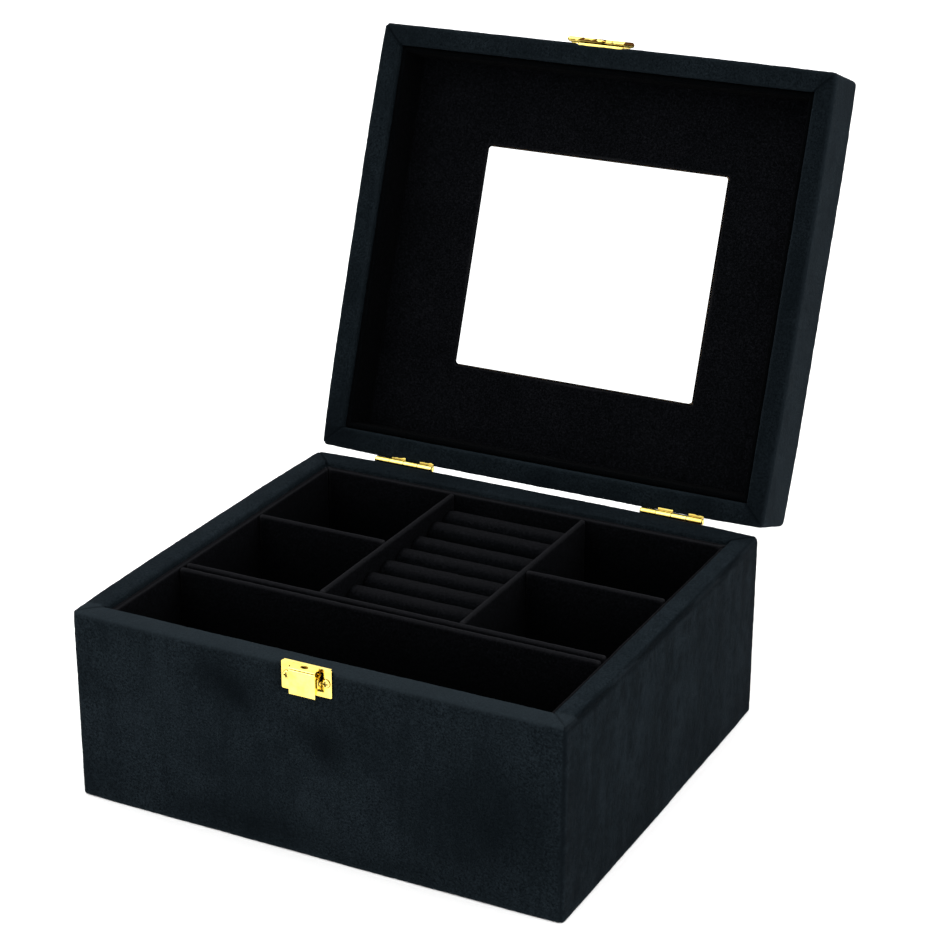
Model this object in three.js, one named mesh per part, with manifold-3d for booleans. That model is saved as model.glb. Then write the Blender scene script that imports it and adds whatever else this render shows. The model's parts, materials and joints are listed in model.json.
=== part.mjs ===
// Rigid jewellery box covered in suede, with a hinged mirror lid, standing open.
// Millimetres, +X along the front from left to right, +Y from front to back, +Z up.
// The origin is the centre of the box's underside.
import * as THREE from "three";
import { mergeVertices } from "three/addons/utils/BufferGeometryUtils.js";
import Module from "manifold-3d";

const wasm = await Module();
wasm.setup();

// ---------------------------------------------------------------- driving dimensions
const WIDTH = 260; // outside, over the suede
const DEPTH = 234;
const BASE_HEIGHT = 99.7;
const LID_HEIGHT = 35.3;
const OPEN_ANGLE = 109.4; // degrees from closed to the hinges' stop
const LID_GAP = 1.1; // between the two rims when the lid is shut

const GAP = 0.3; // glue line or clearance between pieces that touch
const SUEDE = 1.0; // suede over its thin padding
const EDGE_RADIUS = 2.2; // rounding of the covered edges

const BASE_BOARD = 8.7; // wall boards of the base
const LID_BOARD = 8.0; // wall boards of the lid
const LID_TOP_BOARD = 4.7;
const FLOOR_BOARD = 6;
const UNDERSIDE = 1.2; // paper-covered board glued under the base
const UNDERSIDE_INSET = 2.2; // the panel lies inside the suede
const BASE_LIP = 14; // how far the suede is turned down inside the base
const LID_LIP = 10;

const LINING = 3.2; // velvet-covered lining boards of the base
const LINING_DROP = 2.7; // from the rim down to the tops of lining and dividers
const FLOOR_MAT = 2.5;
const DIVIDER = 3;
const FRONT_DIVIDER_Y = -46; // middle of the front compartment's rear board
const TRAY_FRONT_Y = -40; // middle of the rear tray's front board
const SIDE_DIVIDER_X = 38.5; // middle of each board beside the ring rolls
const CROSS_DIVIDER_Y = 30; // middle of each board across a side bay

const ROLL_COUNT = 8;
const ROLL_PITCH = 17.05;
const ROLL_RADIUS = 8.3;
const ROLL_TOP = 89.5; // crest of the rolls above the table
const REAR_ROLLS = { from: 6, lift: 1.2, shift: 1.5 }; // the last rolls sit higher and further back

const BAND = 2.8; // lining band inside the lid
const BAND_DROP = 3.5; // from the lid's rim in to the band's edge
const PANEL_DEPTH = 27; // from the lid's rim in to the liner panel
const PANEL = 2;
const MIRROR_WIDTH = 141;
const MIRROR_HEIGHT = 121.6;
const MIRROR_GLASS = 2;
const MIRROR_PROUD = 0.4; // above the liner panel
const MIRROR_CORNER = 2;
const MIRROR_SHIFT_X = 1.4; // glued a little off the lid's middle
const MIRROR_SHIFT_Y = 1.2; // towards the hinges

const MITRE_RELIEF = 0.22; // each mitred board end is shortened by this much
const HOLE = 1.1; // radius of the screw holes
const SCREW_LENGTH = 7.5;
const SCREW_LIFT = 0.05; // screw heads clear their plates by this much
const LATCH_SCREW = { radius: 2.2, height: 1, shank: 0.8 };
const HINGE_SCREW = { radius: 1.9, height: 0.8, shank: 0.8 };

const HINGE_X = [-77.4, 80.9]; // middles of the two hinges
const HINGE_WIDTH = 34.2;
const KNUCKLES = 4; // every second one turns with the lid
const HINGE_BACK = 2.8; // from the back face to the hinge axis
const KNUCKLE_RADIUS = 1.9;
const KNUCKLE_BORE = 1.15;
const HINGE_PIN = 0.85;
const HINGE_PIN_HEAD = { radius: 1.45, width: 0.4 };
const STOP = { halfWidth: 3.6, low: 5.2, high: 0.8 }; // the stop tongue, below the hinge axis
const LEAF = 0.7;
const LEAF_SEAT = 0.6; // the leaves are pressed this far into the padding
const LEAF_HEIGHT = 13;
const LEAF_SCREW_X = 11; // each screw from the hinge's middle
const LEAF_SCREW_Z = 8; // each screw from the hinge axis

const LATCH_WIDTH = 26.5;
const LATCH_BOTTOM = 86.4;
const LATCH_TOP = 100.6;
const LATCH_SHEET = 0.8;
const LATCH_CORNER = 0.8;
const LATCH_FLANGE = 0.8; // how far the plate's top is folded back over the rim
const LATCH_SCREW_X = 10.3;
const LATCH_SCREW_Z = 93.7;
const FLAP_WIDTH = 13.9;
const FLAP_PROUD = 5.5; // from the box's front face to the flap's face
const FLAP_BOTTOM = 86.6;
const FLAP_TOP = 98.8;
const FLAP_EDGE = 0.35; // rounding of the flap's top edge
const ROOF = { front: 99.8, lip: 0.4, behind: 0.1 }; // height of its front edge, which overhangs the flap
const LATCH_PIN_Z = 94;
const LATCH_PIN = 0.6;
const LATCH_PIN_HEAD = { radius: 1.0, width: 0.4 };
const CHEEK = 1.1; // the flap's pivot cheeks reach this far past the pin
const EAR = 0.7; // thickness of the plate's two pivot ears
const EAR_SLOPE = 1.8; // the ears narrow by this much at each end
const EAR_HALF = 4; // half the ears' height at the plate
const EAR_CLEAR = 1.3; // from the flap's face back to the ears
const WINDOW = { width: 1.3, low: 95.2, high: 98.8 }; // slots left by folding the ears out
const EYE = { halfX: 2.1, halfY: 1.1, behindPlate: 1.6 }; // oval hole for the peg
const SPRING = { turns: 6, length: 4.8, radius: 1.1, wire: 0.22 };
const KEEPER_X = -1.4; // middle of the keeper's plate and wing
const KEEPER_WIDTH = 26;
const KEEPER_HEIGHT = 11;
const KEEPER_SHEET = 1.2;
const KEEPER_CORNER = 1.2;
const KEEPER_SEAT = 0.6; // the keeper's plate is pressed this far into the padding
const KEEPER_SCREW_X = 8;
const KEEPER_SCREW_Z = 6.8; // above the lid's rim
const WING_WIDTH = 38.2;
const WING_REACH = 4.0; // from the box's front face to the wing's edge
const WING_END = 1.4; // radius of the wing's two ends
const WING_BELLY = 1.1; // how far the wing bulges below its crease at the plate
const WING_SLOPE = 1.7; // from the crease out to the full bulge
const WING_THICK = 1.7; // from the wing's belly to its upper face
const PEG = { halfX: 1.5, halfY: 0.7, length: 4.8 };

// ---------------------------------------------------------------- places worked out from them
const HALF_W = WIDTH / 2;
const HALF_D = DEPTH / 2;
const FRONT = -HALF_D;
const RIM = BASE_HEIGHT;
const LID_RIM = RIM + LID_GAP; // the lid's rim when shut
const LID_TOP = LID_RIM + LID_HEIGHT;
const BASE_WALL = 2 * SUEDE + 2 * GAP + BASE_BOARD;
const LID_WALL = 2 * SUEDE + 2 * GAP + LID_BOARD;
const INNER_W = HALF_W - BASE_WALL - GAP - LINING; // half the clear width between linings
const INNER_D = HALF_D - BASE_WALL - GAP - LINING;
const DIVIDER_TOP = RIM - LINING_DROP;
const FLOOR_TOP = UNDERSIDE + GAP + FLOOR_BOARD;
const MAT_TOP = FLOOR_TOP + GAP + FLOOR_MAT;
const DIVIDER_FOOT = MAT_TOP + GAP;
const TRAY_BACK = INNER_D - GAP;
const HINGE_Y = HALF_D + HINGE_BACK;
const HINGE_Z = RIM + LID_GAP / 2;
const PLATE_FACE = FRONT - GAP - LATCH_SHEET; // front face of the latch plate
const FLAP_FACE = FRONT - FLAP_PROUD;
const FLAP_INSIDE = FLAP_FACE + LATCH_SHEET;
const LATCH_PIN_Y = (PLATE_FACE + FLAP_INSIDE) / 2;
const EYE_Y = PLATE_FACE - EYE.behindPlate;
const KEEPER_LOW = LID_RIM + GAP / 2;
const LEAF_BACK = HALF_D - LEAF_SEAT + GAP; // the side of each hinge leaf that lies on the box
const KEEPER_BACK = FRONT + KEEPER_SEAT - GAP;
const KEEPER_FACE = KEEPER_BACK - KEEPER_SHEET;
const KEEPER_LEFT = KEEPER_X - KEEPER_WIDTH / 2;
const KEEPER_RIGHT = KEEPER_X + KEEPER_WIDTH / 2;

// ---------------------------------------------------------------- materials
function material(color, roughness, metalness) {
  return new THREE.MeshStandardMaterial({ color, roughness, metalness });
}
const suede = material(0x1a242d, 0.95, 0);
const velvet = material(0x18171c, 0.97, 0);
const board = material(0x8a7358, 0.85, 0);
const paper = material(0x1b1b1e, 0.9, 0);
const foam = material(0x2c2b30, 0.95, 0);
const brass = material(0xe2b84a, 0.18, 1);
const steel = material(0x9a9a9a, 0.35, 1);
const silvered = material(0xf2f4f5, 0.02, 1);

// ---------------------------------------------------------------- solids
function solid(geometry) {
  const bare = geometry.index ? geometry.toNonIndexed() : geometry.clone();
  bare.deleteAttribute("normal");
  bare.deleteAttribute("uv");
  const merged = mergeVertices(bare, 1e-4);
  return new wasm.Manifold(
    new wasm.Mesh({
      numProp: 3,
      vertProperties: merged.attributes.position.array,
      triVerts: new Uint32Array(merged.index.array),
    }),
  );
}

function geometryOf(made) {
  const data = made.getMesh();
  const geometry = new THREE.BufferGeometry();
  geometry.setAttribute("position", new THREE.BufferAttribute(data.vertProperties, 3));
  geometry.setIndex(new THREE.BufferAttribute(data.triVerts, 1));
  const flat = geometry.toNonIndexed();
  flat.computeVertexNormals();
  return flat;
}

function cut(body, ...tools) {
  return tools.reduce((left, tool) => left.subtract(tool), body);
}

function join(body, ...more) {
  return more.reduce((left, other) => left.add(other), body);
}

// A box from its lowest to its highest corner.
function block(low, high) {
  const size = high.map((value, axis) => value - low[axis]);
  const middle = high.map((value, axis) => (value + low[axis]) / 2);
  return solid(new THREE.BoxGeometry(...size).translate(...middle));
}

// An outline in X and Y, raised from z0 to z1.
function prism(shape, z0, z1, curveSegments = 6) {
  const options = { depth: z1 - z0, bevelEnabled: false, curveSegments };
  return solid(new THREE.ExtrudeGeometry(shape, options).translate(0, 0, z0));
}

// An outline in Y and Z, run along X from x0 to x1.
function beam(shape, x0, x1, curveSegments = 6) {
  const options = { depth: x1 - x0, bevelEnabled: false, curveSegments };
  const turn = new THREE.Matrix4().makeBasis(
    new THREE.Vector3(0, 1, 0),
    new THREE.Vector3(0, 0, 1),
    new THREE.Vector3(1, 0, 0),
  );
  const geometry = new THREE.ExtrudeGeometry(shape, options).applyMatrix4(turn);
  return solid(geometry.translate(x0, 0, 0));
}

function polygon(points) {
  return new THREE.Shape(points.map(([a, b]) => new THREE.Vector2(a, b)));
}

function roundedRectangle(x0, x1, y0, y1, radius) {
  const shape = new THREE.Shape();
  shape.moveTo(x0 + radius, y0);
  shape.lineTo(x1 - radius, y0);
  shape.absarc(x1 - radius, y0 + radius, radius, -Math.PI / 2, 0);
  shape.lineTo(x1, y1 - radius);
  shape.absarc(x1 - radius, y1 - radius, radius, 0, Math.PI / 2);
  shape.lineTo(x0 + radius, y1);
  shape.absarc(x0 + radius, y1 - radius, radius, Math.PI / 2, Math.PI);
  shape.lineTo(x0, y0 + radius);
  shape.absarc(x0 + radius, y0 + radius, radius, Math.PI, 1.5 * Math.PI);
  return shape;
}

// An outline in X and Z, given thickness towards -Y from y = back.
function uprightSheet(shape, back, thickness) {
  const options = { depth: thickness, bevelEnabled: false, curveSegments: 4 };
  const turn = new THREE.Matrix4().makeBasis(
    new THREE.Vector3(1, 0, 0),
    new THREE.Vector3(0, 0, 1),
    new THREE.Vector3(0, -1, 0),
  );
  return solid(new THREE.ExtrudeGeometry(shape, options).applyMatrix4(turn).translate(0, back, 0));
}

// The stretch between two numbers, lowest first.
function span(a, b) {
  return [Math.min(a, b), Math.max(a, b)];
}

function rodX(radius, x0, x1, y, z, sides = 20) {
  const geometry = new THREE.CylinderGeometry(radius, radius, x1 - x0, sides);
  return solid(geometry.rotateZ(-Math.PI / 2).translate((x0 + x1) / 2, y, z));
}

function rodY(radius, y0, y1, x, z, sides = 14) {
  const geometry = new THREE.CylinderGeometry(radius, radius, y1 - y0, sides);
  return solid(geometry.translate(x, (y0 + y1) / 2, z));
}

// ---------------------------------------------------------------- the scene graph
const group = new THREE.Group();
const lid = new THREE.Group(); // built shut, then turned open about the hinge axis
lid.position.set(0, HINGE_Y, HINGE_Z);
lid.rotation.x = THREE.MathUtils.degToRad(-OPEN_ANGLE);
group.add(lid);

function place(name, made, finish) {
  const mesh = new THREE.Mesh(geometryOf(made), finish);
  mesh.name = name;
  group.add(mesh);
}

function placeOnLid(name, made, finish) {
  const mesh = new THREE.Mesh(geometryOf(made), finish);
  mesh.name = name;
  mesh.position.set(0, -HINGE_Y, -HINGE_Z);
  lid.add(mesh);
}

// ---------------------------------------------------------------- boards and covers
// One of four mitred wall boards; outX and outY are the frame's outer half sizes.
function wallBoard(side, outX, outY, thickness, z0, z1) {
  const alongX = side === "front" || side === "back";
  const sign = side === "front" || side === "left" ? -1 : 1;
  const half = (alongX ? outX : outY) - MITRE_RELIEF;
  const out = sign * (alongX ? outY : outX);
  const inner = out - sign * thickness;
  const points = [
    [-half, out],
    [half, out],
    [half - thickness, inner],
    [-half + thickness, inner],
  ];
  return prism(polygon(alongX ? points : points.map(([a, b]) => [b, a])), z0, z1);
}

// A block with rounded upright edges and one rounded rim, the way padded boards look once covered.
function coveredBlock(z0, z1) {
  const r = EDGE_RADIUS;
  const outline = roundedRectangle(-HALF_W + r, HALF_W - r, -HALF_D + r, HALF_D - r, 0.6);
  const bevel = { bevelThickness: r, bevelSize: r, bevelSegments: 4 };
  const depth = z1 - z0 - 2 * r;
  const options = { depth, bevelEnabled: true, curveSegments: 4, ...bevel };
  return solid(new THREE.ExtrudeGeometry(outline, options).translate(0, 0, z0 + r));
}

function rectangleRing(outX, outY, inX, inY, z0, z1) {
  return cut(
    block([-outX, -outY, z0], [outX, outY, z1]),
    block([-inX, -inY, z0 - 1], [inX, inY, z1 + 1]),
  );
}

// Holes for the screws that go through the suede into the boards behind it.
function screwHoles(places, y0, y1, radius) {
  return places.map(([x, z]) => rodY(radius, y0, y1, x, z, 10));
}

const hingeScrews = HINGE_X.flatMap((x) => [x - LEAF_SCREW_X, x + LEAF_SCREW_X]);
const baseHingeScrews = hingeScrews.map((x) => [x, HINGE_Z - LEAF_SCREW_Z]);
const lidHingeScrews = hingeScrews.map((x) => [x, HINGE_Z + LEAF_SCREW_Z]);
const latchScrews = [-LATCH_SCREW_X, LATCH_SCREW_X].map((x) => [x, LATCH_SCREW_Z]);
const keeperScrews = [-1, 1].map((sign) => [KEEPER_X + sign * KEEPER_SCREW_X, LID_RIM + KEEPER_SCREW_Z]);

// The hollows that the hinge leaves press into one cover; up is +1 on the lid and -1 on the base.
function leafPockets(up) {
  const half = HINGE_WIDTH / 2 + GAP;
  const [low, high] = span(HINGE_Z, HINGE_Z + up * (LEAF_HEIGHT + GAP));
  return HINGE_X.map((x) => block([x - half, HALF_D - LEAF_SEAT, low], [x + half, HALF_D + 1, high]));
}

function baseCover() {
  const bottom = UNDERSIDE / 3;
  const skin = HALF_W - SUEDE;
  const skinY = HALF_D - SUEDE;
  const lipX = HALF_W - BASE_WALL;
  const lipY = HALF_D - BASE_WALL;
  const outside = cut(
    coveredBlock(bottom - 4, RIM),
    block([-HALF_W - 1, -HALF_D - 1, bottom - 5], [HALF_W + 1, HALF_D + 1, bottom]),
  );
  return cut(
    outside,
    block([-lipX, -lipY, bottom - 1], [lipX, lipY, RIM + 1]),
    rectangleRing(skin, skinY, lipX + SUEDE, lipY + SUEDE, bottom - 1, RIM - SUEDE),
    block([-skin, -skinY, bottom - 1], [skin, skinY, RIM - BASE_LIP]),
    ...leafPockets(-1),
    ...screwHoles(latchScrews, FRONT - 1, FRONT + 3, HOLE),
    ...screwHoles(baseHingeScrews, HALF_D - 3, HALF_D + 1, HOLE),
  );
}

function lidCover() {
  const skin = HALF_W - SUEDE;
  const skinY = HALF_D - SUEDE;
  const lipX = HALF_W - LID_WALL;
  const lipY = HALF_D - LID_WALL;
  const shell = cut(
    coveredBlock(LID_RIM, LID_TOP),
    block([-skin, -skinY, LID_RIM + SUEDE], [skin, skinY, LID_TOP - SUEDE]),
    block([-lipX, -lipY, LID_RIM - 1], [lipX, lipY, LID_RIM + SUEDE + 1]),
  );
  const lipLow = LID_RIM + SUEDE / 2;
  const lip = rectangleRing(lipX + SUEDE, lipY + SUEDE, lipX, lipY, lipLow, LID_RIM + LID_LIP);
  const pocket = block(
    [KEEPER_LEFT - GAP, FRONT - 1, LID_RIM - 1],
    [KEEPER_RIGHT + GAP, FRONT + KEEPER_SEAT, KEEPER_LOW + KEEPER_HEIGHT + GAP],
  );
  return cut(
    join(shell, lip),
    pocket,
    ...leafPockets(1),
    ...screwHoles(keeperScrews, FRONT - 1, FRONT + 3, HOLE),
    ...screwHoles(lidHingeScrews, HALF_D - 3, HALF_D + 1, HOLE),
  );
}

const boardX = HALF_W - SUEDE - GAP;
const boardY = HALF_D - SUEDE - GAP;

function buildBaseShell() {
  const foot = UNDERSIDE + GAP;
  const top = RIM - SUEDE - GAP;
  const innerX = boardX - BASE_BOARD - GAP;
  const innerY = boardY - BASE_BOARD - GAP;
  const underX = HALF_W - UNDERSIDE_INSET;
  const underY = HALF_D - UNDERSIDE_INSET;
  const holes = {
    front: screwHoles(latchScrews, FRONT - 1, FRONT + 9, HOLE),
    back: screwHoles(baseHingeScrews, HALF_D - 9, HALF_D + 1, HOLE),
    left: [],
    right: [],
  };
  for (const side of ["front", "back", "left", "right"]) {
    const wall = wallBoard(side, boardX, boardY, BASE_BOARD, foot, top);
    place(`base_${side}_wall`, cut(wall, ...holes[side]), board);
  }
  place("base_floor_board", block([-innerX, -innerY, foot], [innerX, innerY, FLOOR_TOP]), board);
  place("underside_panel", block([-underX, -underY, 0], [underX, underY, UNDERSIDE]), paper);
  place("base_cover", baseCover(), suede);
}

function buildLidShell() {
  const boards = { front: keeperScrews, back: lidHingeScrews, left: [], right: [] };
  const top = LID_TOP - SUEDE - GAP;
  const wallTop = top - LID_TOP_BOARD - GAP;
  for (const side of ["front", "back", "left", "right"]) {
    const wall = wallBoard(side, boardX, boardY, LID_BOARD, LID_RIM + SUEDE + GAP, wallTop);
    const from = side === "front" ? FRONT - 1 : HALF_D - 9;
    placeOnLid(`lid_${side}_wall`, cut(wall, ...screwHoles(boards[side], from, from + 10, HOLE)), board);
  }
  const low = [-boardX, -boardY, top - LID_TOP_BOARD];
  placeOnLid("lid_top_board", block(low, [boardX, boardY, top]), board);
  placeOnLid("lid_cover", lidCover(), suede);
}

// ---------------------------------------------------------------- inside the base
function buildLinings() {
  const outX = INNER_W + LINING;
  const outY = INNER_D + LINING;
  for (const side of ["front", "back", "left", "right"]) {
    const lining = wallBoard(side, outX, outY, LINING, FLOOR_TOP + GAP, DIVIDER_TOP);
    place(`${side}_lining`, lining, velvet);
  }
  const x = INNER_W - GAP;
  const y = INNER_D - GAP;
  place("floor_mat", block([-x, -y, FLOOR_TOP + GAP], [x, y, MAT_TOP]), velvet);
}

function dividerBoard(x0, x1, y0, y1) {
  return block([x0, y0, DIVIDER_FOOT], [x1, y1, DIVIDER_TOP]);
}

function buildDividers() {
  const half = DIVIDER / 2;
  const end = INNER_W - GAP;
  const trayStart = TRAY_FRONT_Y + half + GAP;
  place(
    "front_divider",
    dividerBoard(-end, end, FRONT_DIVIDER_Y - half, FRONT_DIVIDER_Y + half),
    velvet,
  );
  place("tray_front_board", dividerBoard(-end, end, TRAY_FRONT_Y - half, TRAY_FRONT_Y + half), velvet);
  for (const [side, sign] of [["left", -1], ["right", 1]]) {
    const x = sign * SIDE_DIVIDER_X;
    place(`${side}_long_divider`, dividerBoard(x - half, x + half, trayStart, TRAY_BACK), velvet);
    const near = sign * (SIDE_DIVIDER_X + half + GAP);
    const [x0, x1] = sign < 0 ? [-end, near] : [near, end];
    const cross = dividerBoard(x0, x1, CROSS_DIVIDER_Y - half, CROSS_DIVIDER_Y + half);
    place(`${side}_cross_divider`, cross, velvet);
  }
}

function buildRingRolls() {
  const x = SIDE_DIVIDER_X - DIVIDER / 2 - GAP;
  const start = TRAY_FRONT_Y + DIVIDER / 2 + GAP;
  const axis = ROLL_TOP - ROLL_RADIUS;
  const bedTop = axis - ROLL_RADIUS - GAP;
  place("ring_roll_bed", block([-x, start, DIVIDER_FOOT], [x, TRAY_BACK, bedTop]), foam);
  const middle = (start + TRAY_BACK) / 2;
  for (let i = 0; i < ROLL_COUNT; i += 1) {
    const rear = i >= REAR_ROLLS.from;
    const y = middle + (i - (ROLL_COUNT - 1) / 2) * ROLL_PITCH + (rear ? REAR_ROLLS.shift : 0);
    const z = axis + (rear ? REAR_ROLLS.lift : 0);
    place(`ring_roll_${i + 1}`, rodX(ROLL_RADIUS, -x, x, y, z, 32), velvet);
  }
}

// ---------------------------------------------------------------- inside the lid
function buildLidLining() {
  const outX = HALF_W - LID_WALL - GAP;
  const outY = HALF_D - LID_WALL - GAP;
  const band = rectangleRing(
    outX,
    outY,
    outX - BAND,
    outY - BAND,
    LID_RIM + BAND_DROP,
    LID_RIM + PANEL_DEPTH - GAP,
  );
  placeOnLid("lid_lining_band", band, velvet);
  const face = LID_RIM + PANEL_DEPTH;
  const x = boardX - LID_BOARD - GAP;
  const y = boardY - LID_BOARD - GAP;
  const mirrorX = MIRROR_WIDTH / 2;
  const mirrorY = MIRROR_HEIGHT / 2;
  const window = roundedRectangle(
    MIRROR_SHIFT_X - mirrorX - GAP,
    MIRROR_SHIFT_X + mirrorX + GAP,
    MIRROR_SHIFT_Y - mirrorY - GAP,
    MIRROR_SHIFT_Y + mirrorY + GAP,
    MIRROR_CORNER,
  );
  const panel = block([-x, -y, face], [x, y, face + PANEL]);
  placeOnLid("lid_liner_panel", cut(panel, prism(window, face - 1, face + PANEL + 1)), velvet);
  const glass = roundedRectangle(
    MIRROR_SHIFT_X - mirrorX,
    MIRROR_SHIFT_X + mirrorX,
    MIRROR_SHIFT_Y - mirrorY,
    MIRROR_SHIFT_Y + mirrorY,
    MIRROR_CORNER,
  );
  const front = face - MIRROR_PROUD;
  placeOnLid("mirror", prism(glass, front, front + MIRROR_GLASS), silvered);
}

// ---------------------------------------------------------------- fasteners
// A cross-recessed screw seated on y = seat; its head faces -Y or +Y.
function screw(x, seat, z, facing, head) {
  const { radius, height, shank } = head;
  const profile = [
    [0, -SCREW_LENGTH],
    [shank, 1.5 * shank - SCREW_LENGTH],
    [shank, 0],
    [radius, 0],
    [radius, height * 0.4],
    [radius * 0.8, height * 0.82],
    [radius * 0.4, height],
    [0, height],
  ].map(([r, along]) => new THREE.Vector2(r, along));
  const turned = new THREE.LatheGeometry(profile, 14);
  const arm = radius * 0.6;
  const slot = radius * 0.19;
  const floor = height * 0.15;
  const body = cut(
    solid(turned),
    block([-arm, floor, -slot], [arm, height + 1, slot]),
    block([-slot, floor, -arm], [slot, height + 1, arm]),
  );
  return body.rotate([facing < 0 ? 180 : 0, 0, 0]).translate([x, seat, z]);
}

// ---------------------------------------------------------------- hinges
// One leaf with its knuckles; spans are the knuckles' X ranges, up is +1 on the lid and -1 on the base.
function hingeLeaf(middle, spans, up) {
  const face = LEAF_BACK;
  const half = HINGE_WIDTH / 2;
  const clear = KNUCKLE_RADIUS + GAP;
  const [low, high] = span(HINGE_Z + up * clear, HINGE_Z + up * LEAF_HEIGHT);
  const plate = block([middle - half, face, low], [middle + half, face + LEAF, high]);
  const edge = HINGE_Z + up * (LID_GAP / 2 + GAP);
  const parts = spans.flatMap(([x0, x1]) => {
    const [webLow, webHigh] = span(edge, HINGE_Z + up * KNUCKLE_RADIUS);
    const [stripLow, stripHigh] = span(edge, HINGE_Z + up * (clear + GAP));
    return [
      rodX(KNUCKLE_RADIUS, x0, x1, HINGE_Y, HINGE_Z, 24),
      block([x0, face, webLow], [x1, HINGE_Y - KNUCKLE_BORE, webHigh]),
      block([x0, face, stripLow], [x1, face + LEAF, stripHigh]),
    ];
  });
  const bore = rodX(KNUCKLE_BORE, middle - half - 1, middle + half + 1, HINGE_Y, HINGE_Z, 20);
  const holeZ = HINGE_Z + up * LEAF_SCREW_Z;
  const places = [-LEAF_SCREW_X, LEAF_SCREW_X].map((dx) => [middle + dx, holeZ]);
  return cut(join(plate, ...parts), bore, ...screwHoles(places, face - 1, face + LEAF + 1, HOLE));
}

// The tongue under a lid knuckle that meets the base leaf when the lid is fully open.
function stopTongue(middle) {
  const face = LEAF_BACK + LEAF + GAP;
  const tongue = block(
    [middle - STOP.halfWidth, face, HINGE_Z - STOP.low],
    [middle + STOP.halfWidth, face + LEAF, HINGE_Z - STOP.high],
  );
  const turned = tongue.translate([0, -HINGE_Y, -HINGE_Z]).rotate([OPEN_ANGLE, 0, 0]);
  return turned.translate([0, HINGE_Y, HINGE_Z]);
}

// A pin along X through middle, with a flat head beyond each end.
function headedPin(middle, half, radius, head, y, z, sides) {
  const shaft = rodX(radius, middle - half, middle + half, y, z, sides);
  const heads = [-1, 1].map((sign) => {
    const [x0, x1] = span(middle + sign * half, middle + sign * (half + head.width));
    return rodX(head.radius, x0, x1, y, z, sides);
  });
  return join(shaft, ...heads);
}

function hingePin(middle) {
  const half = HINGE_WIDTH / 2 + GAP;
  return headedPin(middle, half, HINGE_PIN, HINGE_PIN_HEAD, HINGE_Y, HINGE_Z, 16);
}

function buildHinges() {
  const half = HINGE_WIDTH / 2;
  const pitch = (HINGE_WIDTH + GAP) / KNUCKLES;
  HINGE_X.forEach((middle, index) => {
    const side = index === 0 ? "left" : "right";
    const knuckles = Array.from({ length: KNUCKLES }, (_, n) => {
      const start = middle - half + n * pitch;
      return [start, start + pitch - GAP];
    });
    const onBase = knuckles.filter((_, n) => n % 2 === 0);
    const onLid = knuckles.filter((_, n) => n % 2 === 1);
    place(`${side}_hinge_base_leaf`, hingeLeaf(middle, onBase, -1), brass);
    place(`${side}_hinge_pin`, hingePin(middle), brass);
    const bore = rodX(KNUCKLE_BORE, middle - half, middle + half, HINGE_Y, HINGE_Z, 20);
    const tongues = onLid.map(([x0, x1]) => stopTongue((x0 + x1) / 2));
    const leaf = join(hingeLeaf(middle, onLid, 1), ...tongues);
    placeOnLid(`${side}_hinge_lid_leaf`, cut(leaf, bore), brass);
    const seat = LEAF_BACK + LEAF + SCREW_LIFT;
    [-1, 1].forEach((sign, n) => {
      const x = middle + sign * LEAF_SCREW_X;
      const label = `${side}_hinge`;
      const low = screw(x, seat, HINGE_Z - LEAF_SCREW_Z, 1, HINGE_SCREW);
      const high = screw(x, seat, HINGE_Z + LEAF_SCREW_Z, 1, HINGE_SCREW);
      place(`${label}_base_screw_${n + 1}`, low, brass);
      placeOnLid(`${label}_lid_screw_${n + 1}`, high, brass);
    });
  });
}

// ---------------------------------------------------------------- latch
// The oval eye or peg, as an outline in X and Y.
function oval({ halfX, halfY }) {
  const shape = new THREE.Shape();
  shape.absellipse(0, EYE_Y, halfX, halfY, 0, Math.PI * 2, false, 0);
  return shape;
}

// The plate's top, folded forward as a sloping roof that ends just behind the flap.
function latchRoof() {
  const front = FLAP_FACE + ROOF.behind;
  const section = polygon([
    [front, ROOF.front - ROOF.lip],
    [FLAP_INSIDE + GAP, ROOF.front - ROOF.lip],
    [PLATE_FACE + GAP, LATCH_TOP - LATCH_SHEET],
    [PLATE_FACE + GAP, LATCH_TOP],
    [front + ROOF.lip / 2, ROOF.front],
    [front, ROOF.front - ROOF.lip / 2],
  ]);
  return beam(section, -FLAP_WIDTH / 2, FLAP_WIDTH / 2);
}

// One of the two ears beside the flap that carry its pin.
function latchEar(sign) {
  const inside = FLAP_WIDTH / 2 + GAP;
  const [x0, x1] = span(sign * inside, sign * (inside + EAR));
  const front = FLAP_FACE + EAR_CLEAR;
  const back = PLATE_FACE + GAP / 3;
  const ear = polygon([
    [back, LATCH_PIN_Z - EAR_HALF],
    [front, LATCH_PIN_Z - EAR_HALF + EAR_SLOPE],
    [front, LATCH_PIN_Z + EAR_HALF - EAR_SLOPE],
    [back, LATCH_PIN_Z + EAR_HALF],
  ]);
  return beam(ear, x0, x1);
}

function latchWindow(sign) {
  const inside = FLAP_WIDTH / 2 + GAP + EAR;
  const [x0, x1] = span(sign * inside, sign * (inside + WINDOW.width));
  return block([x0, PLATE_FACE - 1, WINDOW.low], [x1, FRONT + 1, WINDOW.high]);
}

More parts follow.
